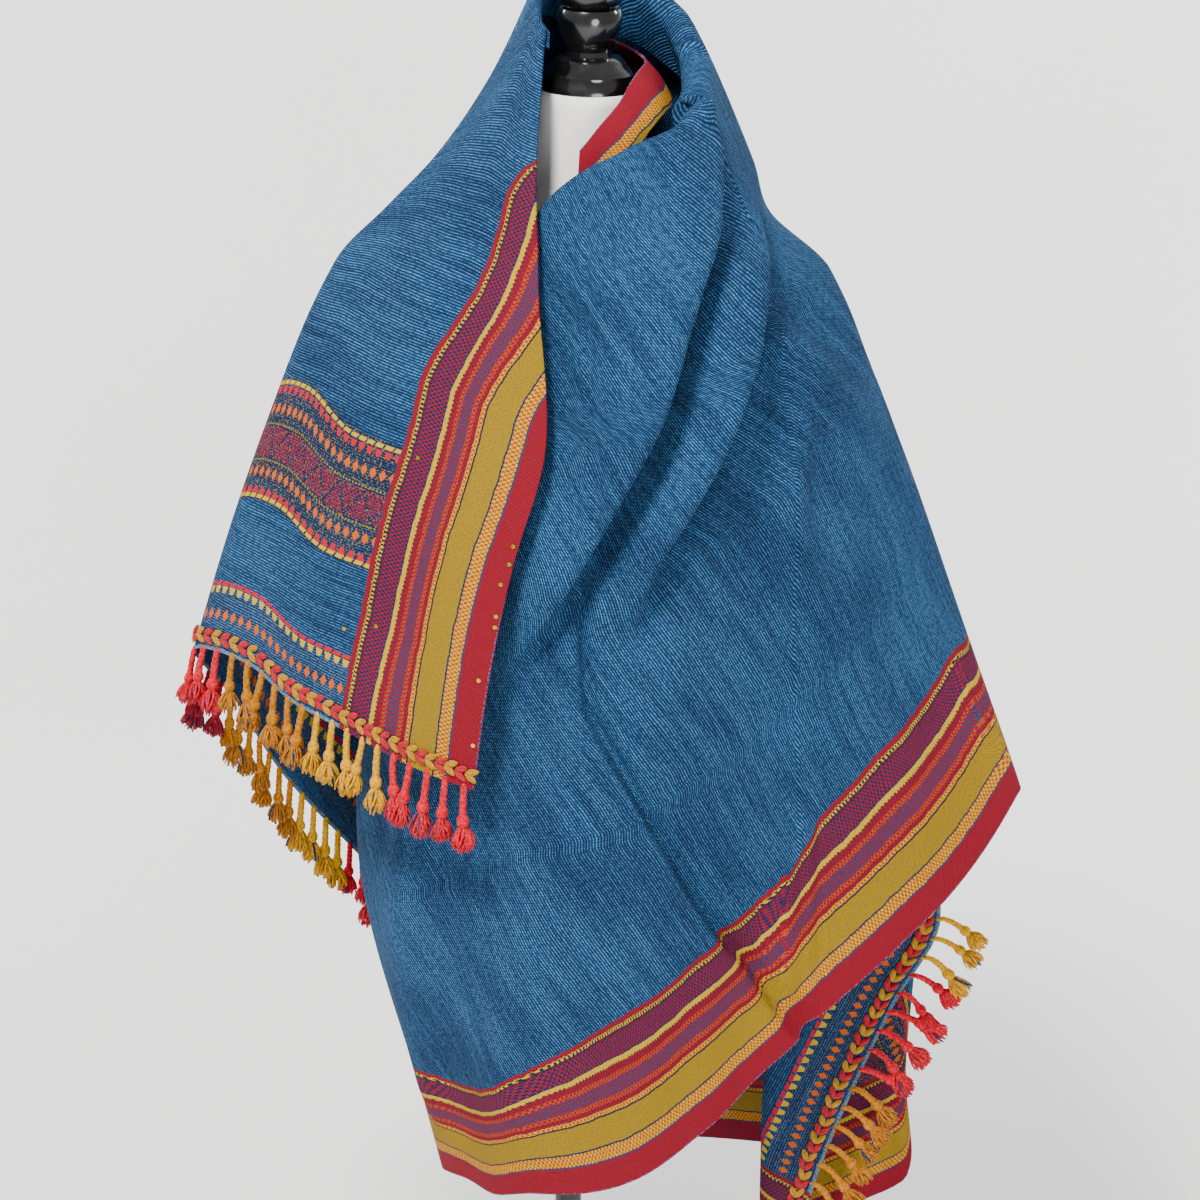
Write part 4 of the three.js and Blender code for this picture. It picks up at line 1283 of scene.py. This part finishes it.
def wool():
    """Indigo wool with its striped borders and the rows at its fringed end."""
    material, shader, start = new_material("indigo_wool", 0.92, specular=0.12)
    cut, end, low = pair_of(start, "ends")
    _, from_high, from_low = pair_of(start, "sides")
    lie, across, along = pair_of(start, "ribs")
    edge = from_low.least(from_high)

    clouds = lie.noise(0.11, 0.16, 3.0, 0.55)
    rubs = lie.noise(0.014, 0.05, 3.0, 0.6)
    streaks = lie.noise(0.0045, 0.12, 2.0, 0.6)
    wander = lie.noise(0.03, 0.05, 1.0)
    yarns = lie.noise(0.0026, 0.0042, 1.0, 0.5)
    flecks = cut.noise(0.0019, 0.0019, 0.0, 0.5)
    rib = (across + wander * 0.003).wave(RIB)
    stitch = (along + across * 0.5).wave(STITCH)
    twill = (end + low).wave(THREAD)

    light = (clouds * 0.38 + rubs * 0.2 + streaks * 0.42).eased(0.34, 0.68)
    field = light.mix(rgb(12, 36, 66), rgb(20, 60, 100))
    thread = light.mix(rgb(56, 106, 154), rgb(98, 158, 206))
    shown = rib.eased(-0.3, 0.95) * yarns.eased(0.3, 0.62, 0.2, 1.0) * stitch.eased(-1.0, 0.6, 0.45, 1.0)
    field = (shown * 0.75).mix(field, thread)
    field = (rib.eased(-0.3, -0.95) * 0.55).mix(field, rgb(6, 18, 38))
    field = ((edge > BORDER) * (end > 0.016)).mix(field, woven_rows(field, end, low, flecks))
    hem = (end < 0.0032) * flecks.eased(0.45, 0.6, 0.25, 0.9)
    field = hem.mix(field, flecks.eased(0.58, 0.62).mix(SKY, MUSTARD))

    wobble = (rubs - 0.5) * 0.003
    share = (edge + wobble) / BORDER
    row = start.math("FLOOR", edge / STITCH)
    phase = (end / 0.0036 + row * 0.5 + yarns * 0.4) % 1.0
    own = share.colours([(place, colour) for place, colour, _ in STRIPES])
    other = share.colours([(place, colour) for place, _, colour in STRIPES])
    stripes = (phase < 0.48).mix(own, other)
    dots = (end + edge).wave(DOT) * (end - edge).wave(DOT)
    stripes = dots.eased(0.3, 0.9, 0.0, 0.08).mix(stripes, rgb(244, 190, 150))
    stripes = dots.eased(-0.2, -0.9, 0.0, 0.5).mix(stripes, rgb(40, 16, 50))
    stripes = flecks.eased(0.6, 0.74, 0.0, 0.3).mix(stripes, rgb(40, 40, 80))
    loops = (edge < 0.0012) * flecks.eased(0.52, 0.6, 0.0, 0.8)
    stripes = loops.mix(stripes, rgb(60, 100, 150))
    striped = share < 1.0
    colour = striped.mix(field, stripes)

    colour = (value_of(start, "lining") * 0.18).mix(colour, rgb(30, 34, 60))
    plain = rib * 0.7 + yarns * 0.6 + stitch * 0.2
    height = striped.most(end < 0.245)
    height = (1 - height) * plain + height * (twill * 0.35 + dots * 0.35 + flecks * 0.5)
    finish_material(start, shader, colour, height, 0.0006, 0.8)
    return material


def yarn_colour(start, grain):
    """The dye of a stitch or tassel, a little uneven."""
    stops = [
        (0.0, rgb(214, 14, 44)), (0.15, rgb(150, 10, 40)), (0.35, rgb(222, 164, 10)),
        (0.55, rgb(186, 118, 8)), (0.75, rgb(20, 56, 100)),
    ]
    colour = value_of(start, "dye").colours(stops)
    darker = start.node("ShaderNodeMix", {"data_type": "RGBA", "blend_type": "MULTIPLY"}, {
        0: grain.eased(0.62, 0.32, 0.0, 0.6), 6: colour, 7: rgb(150, 90, 80),
    }, 2)
    return grain.eased(0.55, 0.75, 0.0, 0.12).mix(darker, rgb(250, 170, 150))


def braid_wool():
    material, shader, start = new_material("stitched_wool", 0.8, 0.06, 0.4, 0.2)
    lie, _, across = pair_of(start, "threads")
    grain = lie.noise(0.006, 0.0006, 1.0)
    strands = across.wave(0.0011)
    # The troughs between the strands are mixed towards dark brown: painted shade in the grooves.
    colour = strands.eased(-1.0, -0.2, 0.45, 0.0).mix(yarn_colour(start, grain), rgb(110, 40, 30))
    finish_material(start, shader, colour, strands * 0.6 + grain, 0.0005)
    return material


def fringe_wool():
    material, shader, start = new_material("fringe_wool", 0.85, 0.08, 0.4, 0.15)
    grain = grain_of(start, 420.0, 2.0, 0.6)
    finish_material(start, shader, yarn_colour(start, grain), grain, 0.0006)
    return material


def jersey():
    material, shader, start = new_material("white_jersey", 0.85, 0.2, 0.5, 0.2)
    knit, soft = grain_of(start, 900.0, 1.0), grain_of(start, 9.0, 3.0)
    colour = soft.eased(0.35, 0.65).mix(rgb(232, 230, 226), rgb(244, 243, 240))
    colour = knit.eased(0.4, 0.3, 0.0, 0.3).mix(colour, rgb(205, 202, 198))
    finish_material(start, shader, colour, knit, 0.0003, 0.6)
    return material


def lacquer():
    material, shader, start = new_material("black_lacquer", 0.16, coat=0.6)
    smears = grain_of(start, 60.0, 3.0)
    smears.eased(0.3, 0.7, 0.1, 0.24).into(shader, "Roughness")
    colour = smears.eased(0.4, 0.7).mix(rgb(10, 10, 11), rgb(20, 19, 19))
    finish_material(start, shader, colour, smears, 0.0001, 0.4)
    return material


def powder_coat():
    material, shader, start = new_material("black_metal", 0.45)
    grit, scuffs = grain_of(start, 1500.0, 1.0), grain_of(start, 35.0, 4.0)
    scuffs.eased(0.3, 0.7, 0.38, 0.55).into(shader, "Roughness")
    colour = scuffs.eased(0.5, 0.75).mix(rgb(12, 12, 13), rgb(26, 26, 27))
    finish_material(start, shader, colour, grit, 0.0002, 0.5)
    return material


def foil():
    material, shader, start = new_material("gold_foil", 0.25, metallic=1.0)
    dents = grain_of(start, 700.0, 1.0)
    colour = dents.eased(0.3, 0.7).mix(rgb(212, 160, 40), rgb(240, 205, 96))
    finish_material(start, shader, colour, dents, 0.0002, 0.5)
    return material


def paper():
    material, shader, start = new_material("pale_paper", 0.95, specular=0.1)
    soft = grain_of(start, 0.8, 1.0)
    soft.eased(0.3, 0.7).mix(rgb(240, 240, 239), rgb(244, 244, 244)).into(shader, "Base Color")
    return material


indigo_wool, stitched_wool, tassel_wool = wool(), braid_wool(), fringe_wool()
white_jersey, black_lacquer, black_metal = jersey(), lacquer(), powder_coat()
gold, pale_paper = foil(), paper()


# ---- the whole object


stretch(
    "fall_and_back_cloth", CORNER_TURN, FRONT_WRAP_TURN,
    ["shawl_front_fall", "shawl_back_panel"],
)
stretch("front_wrap_cloth", FRONT_WRAP_TURN, HIP_SEAM, ["shawl_front_wrap"])
stretch("under_cloth", HIP_SEAM, TAIL_SEAM, ["shawl_under_wrap"])
neck_edge()

TAIL_BORDER = 0.12
tail = tail_grid()
tail_run = run_along(tail, 0)
tail_from_end = tail_run[-1:] - tail_run
tail_from_low = up_from_hem(tail)
tail_maps = {
    "ends": pair(tail_from_end, tail_from_low),
    "sides": pair(np.full_like(tail_from_end, 0.4), tail_from_low * BORDER / TAIL_BORDER),
    "ribs": pair(tail_from_end, tail_from_low),
}
declare_cloth(cloth_wall("tail_cloth", tail, tail_maps), ["shawl_tail"])

fall = winding_grid[turns <= FAR_CORNER_TURN + 1e-6]
tip = int(np.argmin(fall[:, -1, 0]))
front_posts, rear_posts = hem_posts(fall)[:tip], hem_posts(fall)[tip + 1 :]
FRINGE_TOP = 0.62
down_tail = tail.transpose(1, 0, 2)
down_tail = down_tail[down_tail[:, -1, 2] < FRINGE_TOP]
tail_posts = hem_posts(down_tail)
tail_posts[:, 6:9] *= -np.sign(tail_posts[:, 7:8])
tail_posts[:, :3] += tail_posts[:, 6:9] * WALL

braid("braid_on_front_end", "braid_front", front_posts)
braid("braid_on_rear_end", "braid_rear", rear_posts)
braid("braid_on_tail", "braid_tail", tail_posts)
FRONT_DYES = [("crimson", 0.27), ("yellow", 0.5), ("ochre", 0.86), ("crimson", 1)]
REAR_DYES = [("madder", 0.1), ("ochre", 0.3), ("yellow", 0.45), ("crimson", 0.65), ("ochre", 1)]
TAIL_DYES = [("yellow", 0.14), ("crimson", 0.45), ("ochre", 0.8), ("yellow", 1)]
fringe("tassels_on_front_end", "fringe_front", "crimson_tassels", front_posts, 16.8, 0.8, FRONT_DYES)
fringe("tassels_on_rear_end", "fringe_rear", "ochre_tassels", rear_posts, 19.5, 0.55, REAR_DYES)
fringe("tassels_on_tail", "fringe_tail", "crimson_tassels", tail_posts, 19.5, 0.5, TAIL_DYES)

sequins(winding_grid[turns < WING_TIP_TURN])

torso()
# Each turned piece is an outline of radii and heights, from its own foot up.
CAP = [(42, 0), (42, 5), (39, 9), (39, 13), (31, 19), (29, 22), (24, 26)]
URN = [(19, 0), (18, 4), (22, 12), (26, 24), (27, 34), (25, 38)]
BALL = [(21, 0), (26, 5), (28, 15), (27, 26), (21, 38), (11, 46), (8, 52), (9, 58), (5, 63)]
COLLAR = [(30, 0), (30, 24), (46, 29), (46, 34)]
HUB = [(40, 0), (38, 8), (20, 16), (17, 46)]
BASE = [(170, 0), (170, 8), (164, 12), (60, 16), (50, 16)]
POLE_RADIUS, BASE_STEPS = 12, 96
CAP_FOOT = NECK_TOP + SEAM
URN_FOOT = CAP_FOOT + CAP[-1][1] + SEAM
BALL_FOOT = URN_FOOT + URN[-1][1] + SEAM
COLLAR_FOOT = TORSO_BOTTOM - SEAM - COLLAR[-1][1]
HUB_FOOT = BASE[-1][1] + SEAM
POLE_FOOT = HUB_FOOT + HUB[-1][1] + SEAM
POLE = [(POLE_RADIUS, 0), (POLE_RADIUS, COLLAR_FOOT - SEAM - POLE_FOOT)]
turned("neck_cap_turning", "neck_cap", "black_lacquer", black_lacquer, CAP_FOOT, CAP)
turned("finial_urn_turning", "finial_urn", "black_lacquer", black_lacquer, URN_FOOT, URN)
turned("finial_ball_turning", "finial_ball", "black_lacquer", black_lacquer, BALL_FOOT, BALL)
turned("pole_collar_turning", "pole_collar", "black_metal", black_metal, COLLAR_FOOT, COLLAR)
turned("pole_tube", "pole", "black_metal", black_metal, POLE_FOOT, POLE)
turned("base_hub_turning", "base_hub", "black_metal", black_metal, HUB_FOOT, HUB)
turned("base_plate", "base", "black_metal", black_metal, 0, BASE, BASE_STEPS)


# ---- room, light and camera


FLOOR_FRONT, BEND_FOOT, BEND, BACKDROP_TOP, ROOM_HALF = -6, 2.2, 1.6, 7, 7


def room():
    """A pale floor that curves up into a backdrop."""
    profile = [(y, 0.0) for y in np.linspace(FLOOR_FRONT, BEND_FOOT, 12)]
    for a in np.linspace(0.1, math.pi / 2, 14):
        profile.append((BEND_FOOT + BEND * math.sin(a), BEND - BEND * math.cos(a)))
    profile += [(BEND_FOOT + BEND, z) for z in np.linspace(2, BACKDROP_TOP, 8)]
    grid = np.array([[(x, y, z) for y, z in profile] for x in np.linspace(-ROOM_HALF, ROOM_HALF, 12)])
    piece = new_piece("studio_sweep", grid.reshape(-1, 3), quads_of(12, len(profile)), pale_paper)


def lamp(name, place, target, size, watts, colour):
    data = bpy.data.lights.new(name, "AREA")
    data.shape, data.size, data.energy, data.color = "DISK", size, watts, colour
    holder = bpy.data.objects.new(name, data)
    holder.location = place
    holder.rotation_euler = (Vector(target) - Vector(place)).to_track_quat("-Z", "Y").to_euler()
    bpy.context.scene.collection.objects.link(holder)


room()
world = bpy.data.worlds.new("soft_room")
world.use_nodes = True
world.node_tree.nodes["Background"].inputs["Color"].default_value = (1, 1, 1, 1)
world.node_tree.nodes["Background"].inputs["Strength"].default_value = 0.5
bpy.context.scene.world = world
lamp("key", (-1.0, -2.1, 4.1), (0, 0, 0.9), 0.9, 270, (1, 0.99, 0.97))
lamp("fill", (1.2, -3.4, 1.0), (0, 0, 0.7), 1.6, 62, (0.96, 0.98, 1))
lamp("backdrop_left", (-2.6, 1.2, 2.6), (-0.8, 3.8, 1.0), 1.4, 100, (1, 1, 1))
lamp("backdrop_right", (2.6, 1.2, 2.6), (0.8, 3.8, 1.0), 1.4, 130, (1, 1, 1))

camera = bpy.data.cameras.new("camera")
camera.lens, camera.sensor_width = 93, 36
holder = bpy.data.objects.new("camera", camera)
holder.matrix_world = (
    Matrix.Translation((0.018, -2.5, 1.859))
    @ Matrix.Rotation(math.radians(69.1), 4, "X")
    @ Matrix.Rotation(math.radians(1.2), 4, "Z")
)
bpy.context.scene.collection.objects.link(holder)
bpy.context.scene.camera = holder
